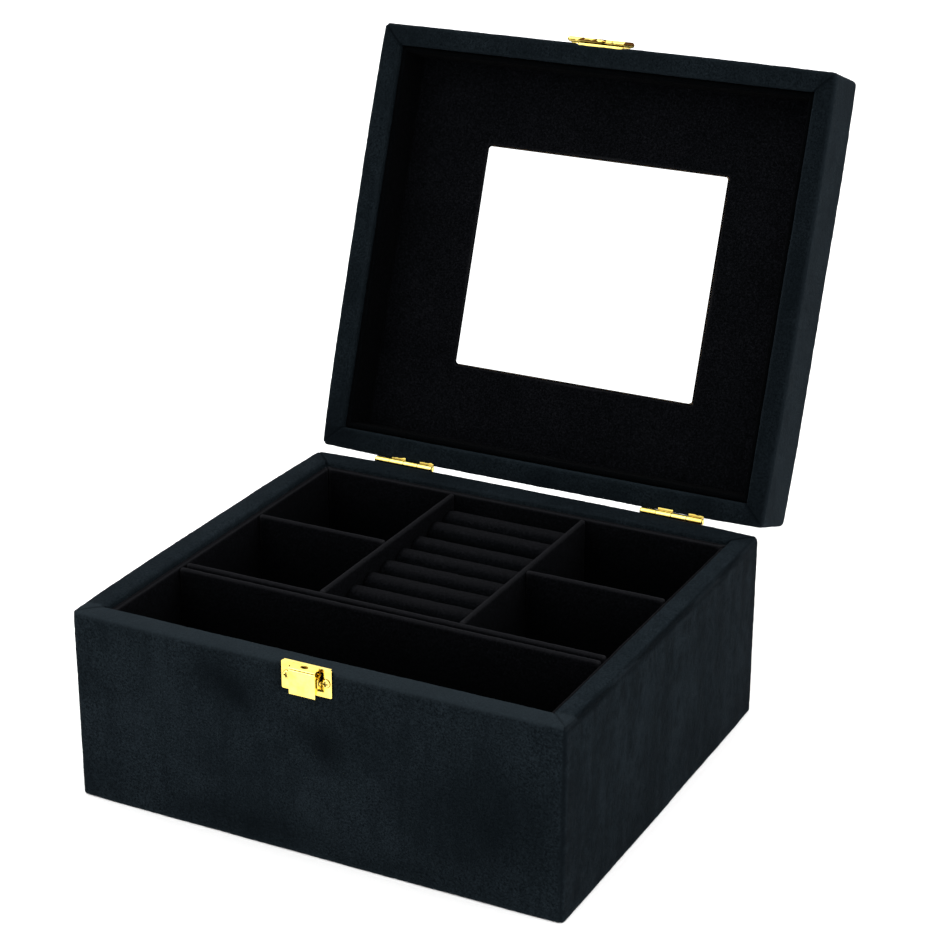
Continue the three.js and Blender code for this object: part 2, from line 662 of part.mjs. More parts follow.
function latchPlate() {
  const half = LATCH_WIDTH / 2;
  const outline = roundedRectangle(-half, half, LATCH_BOTTOM, LATCH_TOP, LATCH_CORNER);
  const flangeX = half - LATCH_CORNER;
  const flange = block([-flangeX, PLATE_FACE, RIM + GAP], [flangeX, FRONT + LATCH_FLANGE, LATCH_TOP]);
  const sheet = uprightSheet(outline, FRONT - GAP, LATCH_SHEET);
  const body = join(sheet, flange, latchRoof(), latchEar(-1), latchEar(1));
  return cut(
    body,
    prism(oval(EYE), FLAP_TOP - 2, LATCH_TOP + 1, 20),
    rodX(LATCH_PIN + GAP / 2, -half, half, LATCH_PIN_Y, LATCH_PIN_Z, 12),
    latchWindow(-1),
    latchWindow(1),
    ...screwHoles(latchScrews, FRONT - 3, FRONT + 1, HOLE),
  );
}

// The sprung flap: an upright face with two pivot cheeks folded back from it.
function latchFlap() {
  const half = FLAP_WIDTH / 2;
  const section = polygon([
    [FLAP_FACE, FLAP_BOTTOM],
    [FLAP_INSIDE, FLAP_BOTTOM],
    [FLAP_INSIDE, FLAP_TOP],
    [FLAP_FACE + FLAP_EDGE, FLAP_TOP],
    [FLAP_FACE, FLAP_TOP - FLAP_EDGE],
  ]);
  const front = FLAP_INSIDE - GAP / 3;
  const cheek = polygon([
    [front, FLAP_BOTTOM + 1],
    [LATCH_PIN_Y + CHEEK, LATCH_PIN_Z - CHEEK],
    [LATCH_PIN_Y + CHEEK, LATCH_PIN_Z + CHEEK],
    [front, FLAP_TOP - 2],
  ]);
  const cheeks = [-1, 1].map((sign) => {
    const [x0, x1] = span(sign * half, sign * (half - LATCH_SHEET));
    return beam(cheek, x0, x1);
  });
  const pinHole = rodX(LATCH_PIN + GAP / 2, -half - 1, half + 1, LATCH_PIN_Y, LATCH_PIN_Z, 12);
  return cut(join(beam(section, -half, half), ...cheeks), pinHole);
}

function latchPin() {
  const half = FLAP_WIDTH / 2 + GAP + EAR + GAP;
  return headedPin(0, half, LATCH_PIN, LATCH_PIN_HEAD, LATCH_PIN_Y, LATCH_PIN_Z, 12);
}

// The helix of the torsion coil round the pin.
class SpringPath extends THREE.Curve {
  getPoint(t, target = new THREE.Vector3()) {
    const angle = t * SPRING.turns * Math.PI * 2;
    const x = (t - 0.5) * SPRING.length;
    const y = LATCH_PIN_Y + SPRING.radius * Math.cos(angle);
    return target.set(x, y, LATCH_PIN_Z + SPRING.radius * Math.sin(angle));
  }
}

function latchSpring() {
  const wire = new THREE.Shape();
  wire.absarc(0, 0, SPRING.wire, 0, Math.PI * 2);
  const options = { extrudePath: new SpringPath(), steps: 72, bevelEnabled: false, curveSegments: 3 };
  return solid(new THREE.ExtrudeGeometry(wire, options));
}

// The keeper's finger tab: round-ended in plan, with a belly that stands off the plate's edge.
function keeperWing() {
  const reach = FRONT - WING_REACH;
  const tip = WING_WIDTH / 2 - WING_END;
  const waist = WING_WIDTH / 6;
  const middle = KEEPER_FACE - WING_END - GAP;
  const plan = new THREE.Shape();
  plan.moveTo(KEEPER_X - tip + WING_END, KEEPER_FACE + GAP);
  plan.lineTo(KEEPER_X - tip, middle + WING_END);
  plan.absarc(KEEPER_X - tip, middle, WING_END, Math.PI / 2, 1.5 * Math.PI);
  plan.quadraticCurveTo(KEEPER_X - waist, reach + GAP, KEEPER_X, reach);
  plan.quadraticCurveTo(KEEPER_X + waist, reach + GAP, KEEPER_X + tip, middle - WING_END);
  plan.absarc(KEEPER_X + tip, middle, WING_END, -Math.PI / 2, Math.PI / 2);
  plan.lineTo(KEEPER_X + tip - WING_END, KEEPER_FACE + GAP);
  const crease = KEEPER_LOW + WING_BELLY;
  const top = KEEPER_LOW + WING_THICK;
  const section = polygon([
    [KEEPER_FACE + GAP, crease],
    [KEEPER_FACE - GAP / 2, crease],
    [KEEPER_FACE - WING_SLOPE, KEEPER_LOW],
    [reach + WING_BELLY, KEEPER_LOW],
    [reach - GAP, KEEPER_LOW + WING_BELLY / 2],
    [reach - GAP, top - WING_BELLY / 2],
    [KEEPER_FACE, top],
    [KEEPER_FACE + GAP, top],
  ]);
  const half = WING_WIDTH / 2;
  const bar = beam(section, KEEPER_X - half, KEEPER_X + half);
  return bar.intersect(prism(plan, KEEPER_LOW - 1, top + 1, 8));
}

// The lid's keeper: an upright plate, the wing that stands forward from it, and the peg under the wing.
function keeper() {
  const high = KEEPER_LOW + KEEPER_HEIGHT;
  const outline = roundedRectangle(KEEPER_LEFT, KEEPER_RIGHT, KEEPER_LOW, high, KEEPER_CORNER);
  const body = join(
    uprightSheet(outline, KEEPER_BACK, KEEPER_SHEET),
    keeperWing(),
    prism(oval(PEG), KEEPER_LOW - PEG.length, KEEPER_LOW + WING_BELLY, 16),
  );
  return cut(body, ...screwHoles(keeperScrews, FRONT - 3, FRONT + 1, HOLE));
}

function buildLatch() {
  place("latch_plate", latchPlate(), brass);
  place("latch_flap", latchFlap(), brass);
  place("latch_pin", latchPin(), brass);
  place("latch_spring", latchSpring(), steel);
  placeOnLid("keeper", keeper(), brass);
  [-1, 1].forEach((sign, n) => {
    const [x, z] = latchScrews[n];
    const [keeperX, keeperZ] = keeperScrews[n];
    const side = sign < 0 ? "left" : "right";
    place(`latch_screw_${side}`, screw(x, PLATE_FACE - SCREW_LIFT, z, -1, LATCH_SCREW), brass);
    const keeperScrew = screw(keeperX, KEEPER_FACE - SCREW_LIFT, keeperZ, -1, HINGE_SCREW);
    placeOnLid(`keeper_screw_${side}`, keeperScrew, brass);
  });
}

buildBaseShell();
buildLidShell();
buildLinings();
buildDividers();
buildRingRolls();
buildLidLining();
buildHinges();
buildLatch();

export default group;
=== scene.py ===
"""Looks of a suede-covered jewelry case with a mirror lid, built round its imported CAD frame.

Metres, +X along the front from left to right, +Y from front to back, +Z up.
The lid's pieces are built as if it were shut, then turned to its open rest about the hinge axis.
"""

import json
import math

import bmesh
import bpy
import numpy as np
from mathutils import Matrix, Vector

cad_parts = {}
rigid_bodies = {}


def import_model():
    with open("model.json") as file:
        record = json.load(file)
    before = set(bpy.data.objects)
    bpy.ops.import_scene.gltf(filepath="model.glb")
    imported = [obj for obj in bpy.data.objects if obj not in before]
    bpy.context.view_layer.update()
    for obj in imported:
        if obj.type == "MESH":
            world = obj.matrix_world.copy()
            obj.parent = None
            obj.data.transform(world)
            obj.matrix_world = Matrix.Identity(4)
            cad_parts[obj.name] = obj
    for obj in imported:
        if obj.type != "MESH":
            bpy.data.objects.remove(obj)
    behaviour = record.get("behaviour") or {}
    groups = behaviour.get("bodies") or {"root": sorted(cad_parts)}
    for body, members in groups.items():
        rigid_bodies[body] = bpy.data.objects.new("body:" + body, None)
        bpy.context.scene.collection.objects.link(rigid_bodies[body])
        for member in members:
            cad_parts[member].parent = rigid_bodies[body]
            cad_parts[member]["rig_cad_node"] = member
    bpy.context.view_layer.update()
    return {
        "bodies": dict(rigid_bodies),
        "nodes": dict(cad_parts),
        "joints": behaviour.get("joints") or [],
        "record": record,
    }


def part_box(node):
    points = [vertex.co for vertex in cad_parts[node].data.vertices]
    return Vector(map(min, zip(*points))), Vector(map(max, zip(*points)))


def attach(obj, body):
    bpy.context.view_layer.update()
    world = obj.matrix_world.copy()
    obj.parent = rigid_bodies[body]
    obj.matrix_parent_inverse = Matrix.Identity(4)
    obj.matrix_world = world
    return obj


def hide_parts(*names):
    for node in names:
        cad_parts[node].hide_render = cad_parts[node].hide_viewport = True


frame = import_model()

# ---------------------------------------------------------------- driving values
MM = 0.001
GLUE = 0.3 * MM  # gap that the frame keeps between glued pieces
SKIN = 1.0 * MM  # suede with its thin padding
CORNER_RADIUS = 2.3 * MM  # upright corners of the covered boards
RIM_OUTER_RADIUS = 1.7 * MM
RIM_INNER_RADIUS = 1.5 * MM
FOOT_RADIUS = 0.5 * MM
PROUD = 0.3 * MM  # the padded suede stands this far outside its boards
SIDE_CROWN = 1.0 * MM  # how far the middle of each padded side swells
RIM_CROWN = 0.4 * MM
LID_FRONT_SHARE = 0.35  # the lid's front is padded less than its other sides
PRESSED = 0.15 * MM  # how far the suede is pressed in behind a screwed plate
PRESS_SLOPE = 0.55  # rise of the suede round a plate
KNUCKLE_EDGE = 4.5 * MM  # the suede's edge beside the hinge knuckles is not pressed in
BASE_HINGE_CROWN = 2.0  # the base's rear rim is padded more than its other rims
COVER_STEP = 1.35 * MM  # size of the fine mesh that carries the nap
LID_COVER_STEP = 1.55 * MM
VELVET_STEP = 1.1 * MM
BASE_LIP = 14 * MM
LID_LIP = 9 * MM
TOP_PANEL_EDGE = 4 * MM
COVER_NAP = (0.16 * MM, 0.1 * MM, 0.11 * MM)  # waves, lumps and tufts of the suede
FOLD_DEPTH = 0.45 * MM  # creases in the base's suede
MITRE_DEPTH = 0.4 * MM  # creases across the corners of the lid's rim
EDGE_REACH = 2.2 * MM  # how far round an edge the suede's nap is worn
VELVET_REACH = 1.6 * MM
MAT_TUCK = 0.45 * MM  # the floor mat is this much wider on each side than its node, to meet the linings

CAMERA_PLACE = (0.52567, -0.99187, 0.60874)
CAMERA_AZIMUTH = 26.724  # degrees to the right of the front
CAMERA_ELEVATION = 22.159
CAMERA_ROLL = 0.245
CAMERA_LENS = 94.24

HINGE = next(joint for joint in frame["joints"] if joint["name"] == "lid_hinge")
OPEN_ANGLE = math.radians(HINGE["range_deg"][1])
HINGE_PLACE = Vector(HINGE["pos_m"])
TO_OPEN = (
    Matrix.Translation(HINGE_PLACE)
    @ Matrix.Rotation(-OPEN_ANGLE, 4, "X")
    @ Matrix.Translation(-HINGE_PLACE)
)
TO_SHUT = TO_OPEN.inverted()


def shut_box(node):
    """Lowest and highest corner of a lid node, turned back to where it is when the lid is shut."""
    points = np.array([TO_SHUT @ v.co for v in frame["nodes"][node].data.vertices])
    return points.min(0), points.max(0)


def rest_box(node):
    low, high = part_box(node)
    return np.array(low), np.array(high)


# ---------------------------------------------------------------- node material helpers
class Nodes:
    """Short calls that add shader nodes to one material and link them."""

    def __init__(self, name):
        self.material = bpy.data.materials.new(name)
        self.material.use_nodes = True
        self.tree = self.material.node_tree
        self.tree.nodes.clear()
        self.output = self.tree.nodes.new("ShaderNodeOutputMaterial")

    def add(self, kind, **values):
        made = self.tree.nodes.new("ShaderNode" + kind)
        for key, value in values.items():
            setattr(made, key, value)
        return made

    def link(self, source, target):
        self.tree.links.new(source, target)

    def place(self, stretch=(1, 1, 1)):
        """Object coordinates in metres, stretched for grain that runs one way."""
        mapping = self.add("Mapping")
        mapping.inputs["Scale"].default_value = stretch
        self.link(self.add("TexCoord").outputs["Object"], mapping.inputs["Vector"])
        return mapping.outputs["Vector"]

    def noise(self, size, detail=2.0, roughness=0.55, stretch=(1, 1, 1), distortion=0.0):
        """Noise whose lumps are about size metres across."""
        made = self.add("TexNoise")
        made.inputs["Scale"].default_value = 1 / size
        made.inputs["Detail"].default_value = detail
        made.inputs["Roughness"].default_value = roughness
        made.inputs["Distortion"].default_value = distortion
        self.link(self.place(stretch), made.inputs["Vector"])
        return made.outputs["Fac"]

    def attribute(self, name):
        return self.add("Attribute", attribute_name=name).outputs["Fac"]

    def spread(self, value, low, high, to_low=0.0, to_high=1.0):
        """Maps low..high of a value to to_low..to_high."""
        made = self.add("MapRange")
        made.clamp = True
        self.link(value, made.inputs["Value"])
        ends = {"From Min": low, "From Max": high, "To Min": to_low, "To Max": to_high}
        for key, number in ends.items():
            made.inputs[key].default_value = number
        return made.outputs["Result"]

    def math(self, operation, a, b):
        made = self.add("Math", operation=operation)
        for socket, value in zip(made.inputs, (a, b)):
            if isinstance(value, (int, float)):
                socket.default_value = value
            else:
                self.link(value, socket)
        return made.outputs["Value"]

    def mix(self, share, a, b, blend="MIX"):
        made = self.add("Mix", data_type="RGBA", blend_type=blend)
        sockets = [s for s in made.inputs if s.type == "RGBA"]
        for socket, value in zip(sockets, (a, b)):
            if isinstance(value, tuple):
                socket.default_value = (*value, 1)
            else:
                self.link(value, socket)
        if isinstance(share, (int, float)):
            made.inputs[0].default_value = share
        else:
            self.link(share, made.inputs[0])
        return next(s for s in made.outputs if s.type == "RGBA")

    def bump(self, height, distance, strength=1.0, before=None):
        made = self.add("Bump")
        made.inputs["Distance"].default_value = distance
        made.inputs["Strength"].default_value = strength
        self.link(height, made.inputs["Height"])
        if before is not None:
            self.link(before, made.inputs["Normal"])
        return made.outputs["Normal"]

    def finish(self, color, roughness, normal=None, **constants):
        shader = self.add("BsdfPrincipled")
        self.link(color, shader.inputs["Base Color"])
        self.link(roughness, shader.inputs["Roughness"])
        if normal is not None:
            self.link(normal, shader.inputs["Normal"])
        for key, value in constants.items():
            shader.inputs[key.replace("_", " ")].default_value = value
        self.link(shader.outputs["BSDF"], self.output.inputs["Surface"])
        return self.material


# ---------------------------------------------------------------- materials
def suede_material():
    """Very dark navy microsuede: short nap, brushed patches, lighter where the edges wear, with painted
    shade in its creases, painted grazing-light streaks on the base's right face and a front rim painted
    lighter.
    """
    n = Nodes("suede")
    nap = n.noise(1.0 * MM, detail=4, roughness=0.8)
    tufts = n.noise(1.2 * MM, detail=3, roughness=0.75)
    brushed = n.noise(34 * MM, detail=4, roughness=0.6, distortion=0.4)
    streaks = n.noise(7 * MM, detail=3, stretch=(1, 1, 0.22), distortion=0.3)
    low, high = (0.0006, 0.0014, 0.0020), (0.0094, 0.0138, 0.0172)
    shade = n.mix(n.spread(nap, 0.36, 0.64), low, high)
    shade = n.mix(n.spread(tufts, 0.36, 0.5, 0.3, 0), shade, (0.0008, 0.0016, 0.0022))
    shade = n.mix(n.spread(tufts, 0.52, 0.66, 0, 0.35), shade, (0.0125, 0.0178, 0.0220))
    shade = n.mix(n.spread(streaks, 0.36, 0.52, 0.3, 0), shade, (0.0018, 0.0030, 0.0040))
    shade = n.mix(n.spread(brushed, 0.34, 0.54, 0.4, 0), shade, (0.0018, 0.0031, 0.0042))
    shade = n.mix(n.spread(brushed, 0.56, 0.74, 0, 0.2), shade, (0.0110, 0.0158, 0.0196))
    # painted shade: besides brushed patches, the brushed attribute darkens the creases and streaks the
    # base's right face as grazing light would
    shade = n.mix(n.spread(n.attribute("brushed"), 0, 1, 0, 0.85), shade, (0.0010, 0.0018, 0.0025))
    shade = n.mix(n.spread(n.attribute("edge"), 0.1, 1, 0, 0.3), shade, (0.0120, 0.0170, 0.0210))
    # painted light: the worn attribute marks the base's front rim, painted lighter as if lit more
    # strongly
    shade = n.mix(n.spread(n.attribute("worn"), 0, 1, 0, 0.45), shade, (0.0150, 0.0205, 0.0245))
    rough = n.spread(nap, 0.3, 0.7, 0.86, 1.0)
    normal = n.bump(nap, 0.5 * MM, 0.9, n.bump(tufts, 0.4 * MM, 0.6))
    return n.finish(
        shade, rough, normal, Specular_IOR_Level=0.015, Sheen_Weight=0.01,
        Sheen_Roughness=0.45, Sheen_Tint=(0.5, 0.74, 0.95, 1),
    )


def velvet_material():
    """Black flocked velvet with a warm grey nap that catches light on its crests."""
    n = Nodes("velvet")
    nap = n.noise(0.9 * MM, detail=4, roughness=0.85)
    tufts = n.noise(1.1 * MM, detail=3, roughness=0.75)
    worn = n.noise(28 * MM, detail=2)
    low, high = (0.0002, 0.0004, 0.0005), (0.0040, 0.0043, 0.0055)
    shade = n.mix(n.spread(nap, 0.38, 0.66), low, high)
    shade = n.mix(n.spread(tufts, 0.38, 0.5, 0.45, 0), shade, low)
    shade = n.mix(n.spread(tufts, 0.53, 0.68, 0, 0.6), shade, (0.0068, 0.0072, 0.0088))
    shade = n.mix(n.spread(worn, 0.35, 0.6, 0.22, 0), shade, low)
    # painted highlight: velvet edges and roll crests are painted lighter where they catch the light
    shade = n.mix(n.spread(n.attribute("edge"), 0.15, 1, 0, 0.5), shade, (0.0165, 0.0165, 0.0185))
    # painted shade: the velvet is painted darker deeper in the compartments, under and at the ends of
    # the rolls, and over the lid band
    shade = n.mix(n.spread(n.attribute("painted_occlusion_shade"), 0, 1, 0, 0.9), shade, low)
    rough = n.spread(nap, 0.3, 0.7, 0.88, 1.0)
    normal = n.bump(nap, 0.5 * MM, 0.9, n.bump(tufts, 0.4 * MM, 0.6))
    return n.finish(
        shade, rough, normal, Specular_IOR_Level=0.01, Sheen_Weight=0.004,
        Sheen_Roughness=0.4, Sheen_Tint=(0.9, 0.88, 0.95, 1),
    )


def brass_material():
    """Polished brass plate: bright pale gold, fine polishing lines, a little tarnish, painted brown
    shade in its recesses and painted dark reflections on the keeper's wing.
    """
    n = Nodes("brass")
    lines = n.noise(0.5 * MM, detail=3, stretch=(1, 1, 9))
    tarnish = n.noise(5 * MM, detail=3)
    painted_dark_brown = (0.055, 0.022, 0.004)
    shade = n.mix(n.spread(tarnish, 0.35, 0.7), (0.98, 0.80, 0.22), (0.92, 0.66, 0.13))
    # painted shade: the brass is painted dark brown in its recesses, found by ambient occlusion
    painted_occlusion_shade = n.add("AmbientOcclusion", samples=8)
    painted_occlusion_shade.inputs["Distance"].default_value = 1.7 * MM
    shade = n.mix(n.spread(painted_occlusion_shade.outputs["AO"], 0.45, 0.9, 1, 0), shade, painted_dark_brown)
    # painted reflection: dark brown patches on the keeper's wing stand for the dark surroundings it
    # reflects
    patches = n.spread(n.noise(8 * MM, detail=1, distortion=0.6), 0.51, 0.56)
    shade = n.mix(n.math("MULTIPLY", patches, n.attribute("painted_dark_reflection")), shade, painted_dark_brown)
    polish = n.spread(lines, 0.3, 0.7, 0.02, 0.09)
    rough = n.math("ADD", polish, n.spread(tarnish, 0.4, 0.75, 0.05, 0.12))
    normal = n.bump(lines, 0.02 * MM, 0.25)
    return n.finish(shade, rough, normal, Metallic=1.0)


def steel_material():
    n = Nodes("spring_steel")
    lines = n.noise(0.4 * MM, detail=3, stretch=(8, 1, 1))
    shade = n.mix(n.spread(lines, 0.3, 0.7), (0.46, 0.44, 0.40), (0.66, 0.62, 0.55))
    rough = n.spread(lines, 0.3, 0.7, 0.2, 0.4)
    return n.finish(shade, rough, n.bump(lines, 0.02 * MM, 0.4), Metallic=1.0)


def mirror_material():
    """Silvered glass with the faintest dust."""
    n = Nodes("mirror_glass")
    dust = n.noise(9 * MM, detail=4)
    shade = n.mix(n.spread(dust, 0.3, 0.75), (0.97, 0.98, 0.98), (0.94, 0.955, 0.955))
    return n.finish(shade, n.spread(dust, 0.35, 0.8, 0.0, 0.035), Metallic=1.0)


def wood_material():
    """Raw fibreboard and softwood of the hidden boards."""
    n = Nodes("board")
    grain = n.noise(2.4 * MM, detail=4, roughness=0.6, stretch=(0.12, 0.12, 1), distortion=0.4)
    specks = n.noise(0.7 * MM, detail=2)
    shade = n.mix(n.spread(grain, 0.3, 0.7), (0.30, 0.19, 0.10), (0.46, 0.32, 0.19))
    shade = n.mix(n.spread(specks, 0.5, 0.8, 0, 0.35), shade, (0.20, 0.12, 0.06))
    return n.finish(shade, n.spread(grain, 0.3, 0.7, 0.7, 0.9), n.bump(grain, 0.1 * MM, 0.6))


def paper_material():
    """Black leather-grained paper on the underside."""
    n = Nodes("backing_paper")
    cells = n.add("TexVoronoi", feature="DISTANCE_TO_EDGE")
    cells.inputs["Scale"].default_value = 1 / (1.3 * MM)
    n.link(n.place(), cells.inputs["Vector"])
    pores = cells.outputs["Distance"]
    tone = n.noise(30 * MM, detail=2)
    shade = n.mix(n.spread(pores, 0.0, 0.2), (0.004, 0.004, 0.005), (0.012, 0.012, 0.014))
    shade = n.mix(n.spread(tone, 0.35, 0.65, 0, 0.4), shade, (0.018, 0.018, 0.020))
    return n.finish(shade, n.spread(pores, 0, 0.25, 0.75, 0.5), n.bump(pores, 0.08 * MM, 0.7))


def foam_material():
    """Dark open-cell foam under the ring rolls."""
    n = Nodes("foam")
    cells = n.add("TexVoronoi")
    cells.inputs["Scale"].default_value = 1 / (0.9 * MM)
    n.link(n.place(), cells.inputs["Vector"])
    pores = cells.outputs["Distance"]
    shade = n.mix(n.spread(pores, 0.1, 0.6), (0.012, 0.012, 0.013), (0.003, 0.003, 0.0035))
    return n.finish(shade, n.spread(pores, 0.1, 0.6, 0.85, 1.0), n.bump(pores, 0.3 * MM, 0.8))


def floor_material():
    """Plain matte white sweep."""
    n = Nodes("studio_floor")
    tone = n.noise(0.4, detail=2)
    shade = n.mix(n.spread(tone, 0.3, 0.7), (0.93, 0.93, 0.93), (0.95, 0.95, 0.95))
    return n.finish(shade, n.spread(tone, 0.3, 0.7, 0.75, 0.85), Specular_IOR_Level=0.1)


MATERIALS = {
    "suede": suede_material(),
    "velvet": velvet_material(),
    "board": wood_material(),
    "backing_paper": paper_material(),
    "foam": foam_material(),
    "brass": brass_material(),
    "spring_steel": steel_material(),
    "mirror_glass": mirror_material(),
}

# ---------------------------------------------------------------- noise for mesh detail
NOISE_TABLE = np.random.default_rng(7).uniform(-1, 1, 8192)


def ripple(points, size, seed=0):
    """Smooth noise between -1 and 1 whose lumps are about size across."""
    grid = points / size + seed * 17.3
    cell = np.floor(grid).astype(np.int64)
    part = grid - cell
    part = part * part * (3 - 2 * part)
    total = np.zeros(len(points))
    for corner in np.ndindex(2, 2, 2):
        at = cell + np.array(corner)
        key = (at[:, 0] * 73856093 ^ at[:, 1] * 19349663 ^ at[:, 2] * 83492791) % len(NOISE_TABLE)
        weight = np.prod(np.where(np.array(corner) == 1, part, 1 - part), axis=1)
        total += weight * NOISE_TABLE[key]
    return total


# ---------------------------------------------------------------- mesh helpers
def coordinates(mesh):
    flat = np.zeros(len(mesh.vertices) * 3)
    mesh.vertices.foreach_get("co", flat)
    return flat.reshape(-1, 3)


def set_coordinates(mesh, points):
    mesh.vertices.foreach_set("co", points.ravel())
    mesh.update()


def normals(mesh):
    flat = np.zeros(len(mesh.vertices) * 3)
    mesh.vertex_normals.foreach_get("vector", flat)
    return flat.reshape(-1, 3)


def new_piece(name, points, faces, slot):
    """A mesh object with its faces pointing out, in its record slot's material."""
    mesh = bpy.data.meshes.new(name)
    mesh.from_pydata([tuple(p) for p in points], [], [tuple(f) for f in faces])
    made = bmesh.new()
    made.from_mesh(mesh)
    bmesh.ops.remove_doubles(made, verts=made.verts, dist=1e-6)
    bmesh.ops.recalc_face_normals(made, faces=made.faces)
    made.to_mesh(mesh)
    made.free()
    mesh.shade_smooth()
    mesh.materials.append(MATERIALS[slot])
    piece = bpy.data.objects.new(name, mesh)
    bpy.context.scene.collection.objects.link(piece)
    return piece


def store(mesh, name, values):
    attribute = mesh.attributes.new(name, "FLOAT", "POINT")
    attribute.data.foreach_set("value", values.astype(np.float32))


def mark_edges(mesh, reach):
    """Stores how sharply each point stands out over about reach metres, from 0 to 1."""
    points, out = coordinates(mesh), normals(mesh)
    pairs = np.zeros(len(mesh.edges) * 2, np.int64)
    mesh.edges.foreach_get("vertices", pairs)
    a, b = pairs.reshape(-1, 2).T
    count = np.bincount(np.concatenate([a, b]), minlength=len(points)).astype(float)
    bend = np.zeros(len(points))
    step = points[b] - points[a]
    length = np.maximum(np.linalg.norm(step, axis=1), 1e-9)
    turn = np.einsum("ij,ij->i", out[b] - out[a], step) / length**2
    for ends in (a, b):
        np.add.at(bend, ends, turn * reach)
    bend /= np.maximum(count, 1)
    for _ in range(2):
        total = np.zeros(len(points))
        np.add.at(total, a, bend[b])
        np.add.at(total, b, bend[a])
        bend = 0.5 * bend + 0.5 * total / np.maximum(count, 1)
    store(mesh, "edge", np.clip(bend, 0, 1))


def push_out(mesh, amounts):
    set_coordinates(mesh, coordinates(mesh) + normals(mesh) * amounts[:, None])


def nap(mesh, wave, lump, tuft, seed):
    """Unevenness of a covered board: slow waves, lumps of padding and tufts of nap, in metres."""
    points = coordinates(mesh)
    amounts = wave * ripple(points, 45 * MM, seed) + lump * ripple(points, 9 * MM, seed + 1)
    push_out(mesh, amounts + tuft * ripple(points, 1.6 * MM, seed + 2))


def turn_open(piece):
    piece.data.transform(TO_OPEN)


def settle(piece, body, *nodes):
    """Ends a piece: it rides its body and stands for its CAD nodes."""
    if body == "lid":
        turn_open(piece)
    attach(piece, body)
    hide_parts(*nodes)
    return piece


BASE_PLATES = ("latch_plate", "left_hinge_base_leaf", "right_hinge_base_leaf")
LID_PLATES = ("keeper", "left_hinge_lid_leaf", "right_hinge_lid_leaf")

# ---------------------------------------------------------------- swept rectangles
CORNER_STEPS = 6
FINE_STEPS = np.array([0, 0.35, 0.75, 1.2, 1.8, 2.6, 3.7]) * MM


def side_places(length, count):
    """Distances along one side, fine near both of its ends."""
    fine = FINE_STEPS * min(1, length / (3 * FINE_STEPS[-1]))
    middle = np.linspace(fine[-1], length - fine[-1], count + 1)[1:-1]
    return np.concatenate([fine, middle, length - fine[::-1]])


def rectangle_loop(half_x, half_y, radius, counts):
    """Points round a rectangle with rounded corners; counts are the steps of its X and Y sides."""
    points = []
    starts = ((-1, -1, 0), (1, -1, 1), (1, 1, 0), (-1, 1, 1))
    for quarter, (sign_x, sign_y, along) in enumerate(starts):
        length = 2 * ((half_x, half_y)[along] - radius)
        angle = quarter * math.pi / 2
        forward = np.array([math.cos(angle), math.sin(angle)])
        outward = np.array([forward[1], -forward[0]])
        centre = np.array([sign_x * (half_x - radius), sign_y * (half_y - radius)])
        places = side_places(length, counts[along])
        points.append(centre + radius * outward + places[:, None] * forward)
        turns = angle - math.pi / 2 + np.arange(1, CORNER_STEPS) / CORNER_STEPS * math.pi / 2
        corner = centre + length * forward
        points.append(corner + radius * np.stack([np.cos(turns), np.sin(turns)], 1))
    return np.concatenate(points)


def ring_faces(rings, count, closed):
    """Quads that join each ring of count points to the next."""
    faces = []
    along = np.arange(count)
    after = (along + 1) % count
    for i in range(rings if closed else rings - 1):
        a, b = i * count, ((i + 1) % rings) * count
        faces.append(np.stack([a + along, a + after, b + after, b + along], 1))
    return np.concatenate(faces)


def sweep_points(profile, half_x, half_y, radius_at, counts, centre=(0, 0)):
    rings = []
    for inset, z in profile:
        loop = rectangle_loop(half_x - inset, half_y - inset, radius_at(inset), counts)
        rings.append(np.column_stack([loop + np.array(centre), np.full(len(loop), z)]))
    return rings


def arc(middle, radius, start, end, steps):
    """Profile points round a corner, as inset and height; angles in degrees."""
    angles = np.radians(np.linspace(start, end, steps + 1))
    return [(middle[0] + radius * math.cos(a), middle[1] + radius * math.sin(a)) for a in angles]


def line(start, end, step):
    """Profile points between two corners, without either of them."""
    start, end = np.array(start), np.array(end)
    count = max(1, round(float(np.linalg.norm(end - start)) / step))
    return [tuple(start + (end - start) * i / count) for i in range(1, count)]


def mitre_crease(points, half_x, half_y, wall, rim_z, reach):
    """How deep the fold across each rim corner lies, from 0 to 1."""
    from_x = half_x - np.abs(points[:, 0])
    from_y = half_y - np.abs(points[:, 1])
    off = (from_x - from_y) / math.sqrt(2)
    on_rim = (np.abs(points[:, 2] - rim_z) < reach) & (from_x < wall * 1.1) & (from_y < wall * 1.1)
    return np.exp(-((off / (0.55 * MM)) ** 2)) * on_rim


def swell(points, half_x, half_y, height_share, rim_share, front_share=1.0, hinge_share=1.0):
    """Crowns the padded sides and rim: most in the middle of each side, nothing at the corners."""
    u, v = points[:, 0] / half_x, points[:, 1] / half_y
    nearer_x = np.abs(u) * half_x > np.abs(v) * half_y - half_y + half_x
    on_side_x = np.clip((np.abs(u) - 0.9) / 0.08, 0, 1) * nearer_x
    on_side_y = np.clip((np.abs(v) - 0.9) / 0.08, 0, 1) * (on_side_x == 0)
    amount_x = on_side_x * (1 - np.abs(np.clip(v, -1, 1)) ** 4)
    amount_y = on_side_y * (1 - np.abs(np.clip(u, -1, 1)) ** 4)
    moved = points.copy()
    moved[:, 0] += np.sign(u) * SIDE_CROWN * amount_x * height_share
    moved[:, 1] += np.sign(v) * SIDE_CROWN * amount_y * height_share * np.where(v < 0, front_share, 1)
    on_hinge_side = np.where(v > 0, hinge_share, 1) * amount_y
    on_front = np.where(v > 0, 0, 1) * amount_y
    moved[:, 2] += RIM_CROWN * rim_share * np.maximum(amount_x, np.maximum(on_hinge_side, on_front))
    return moved


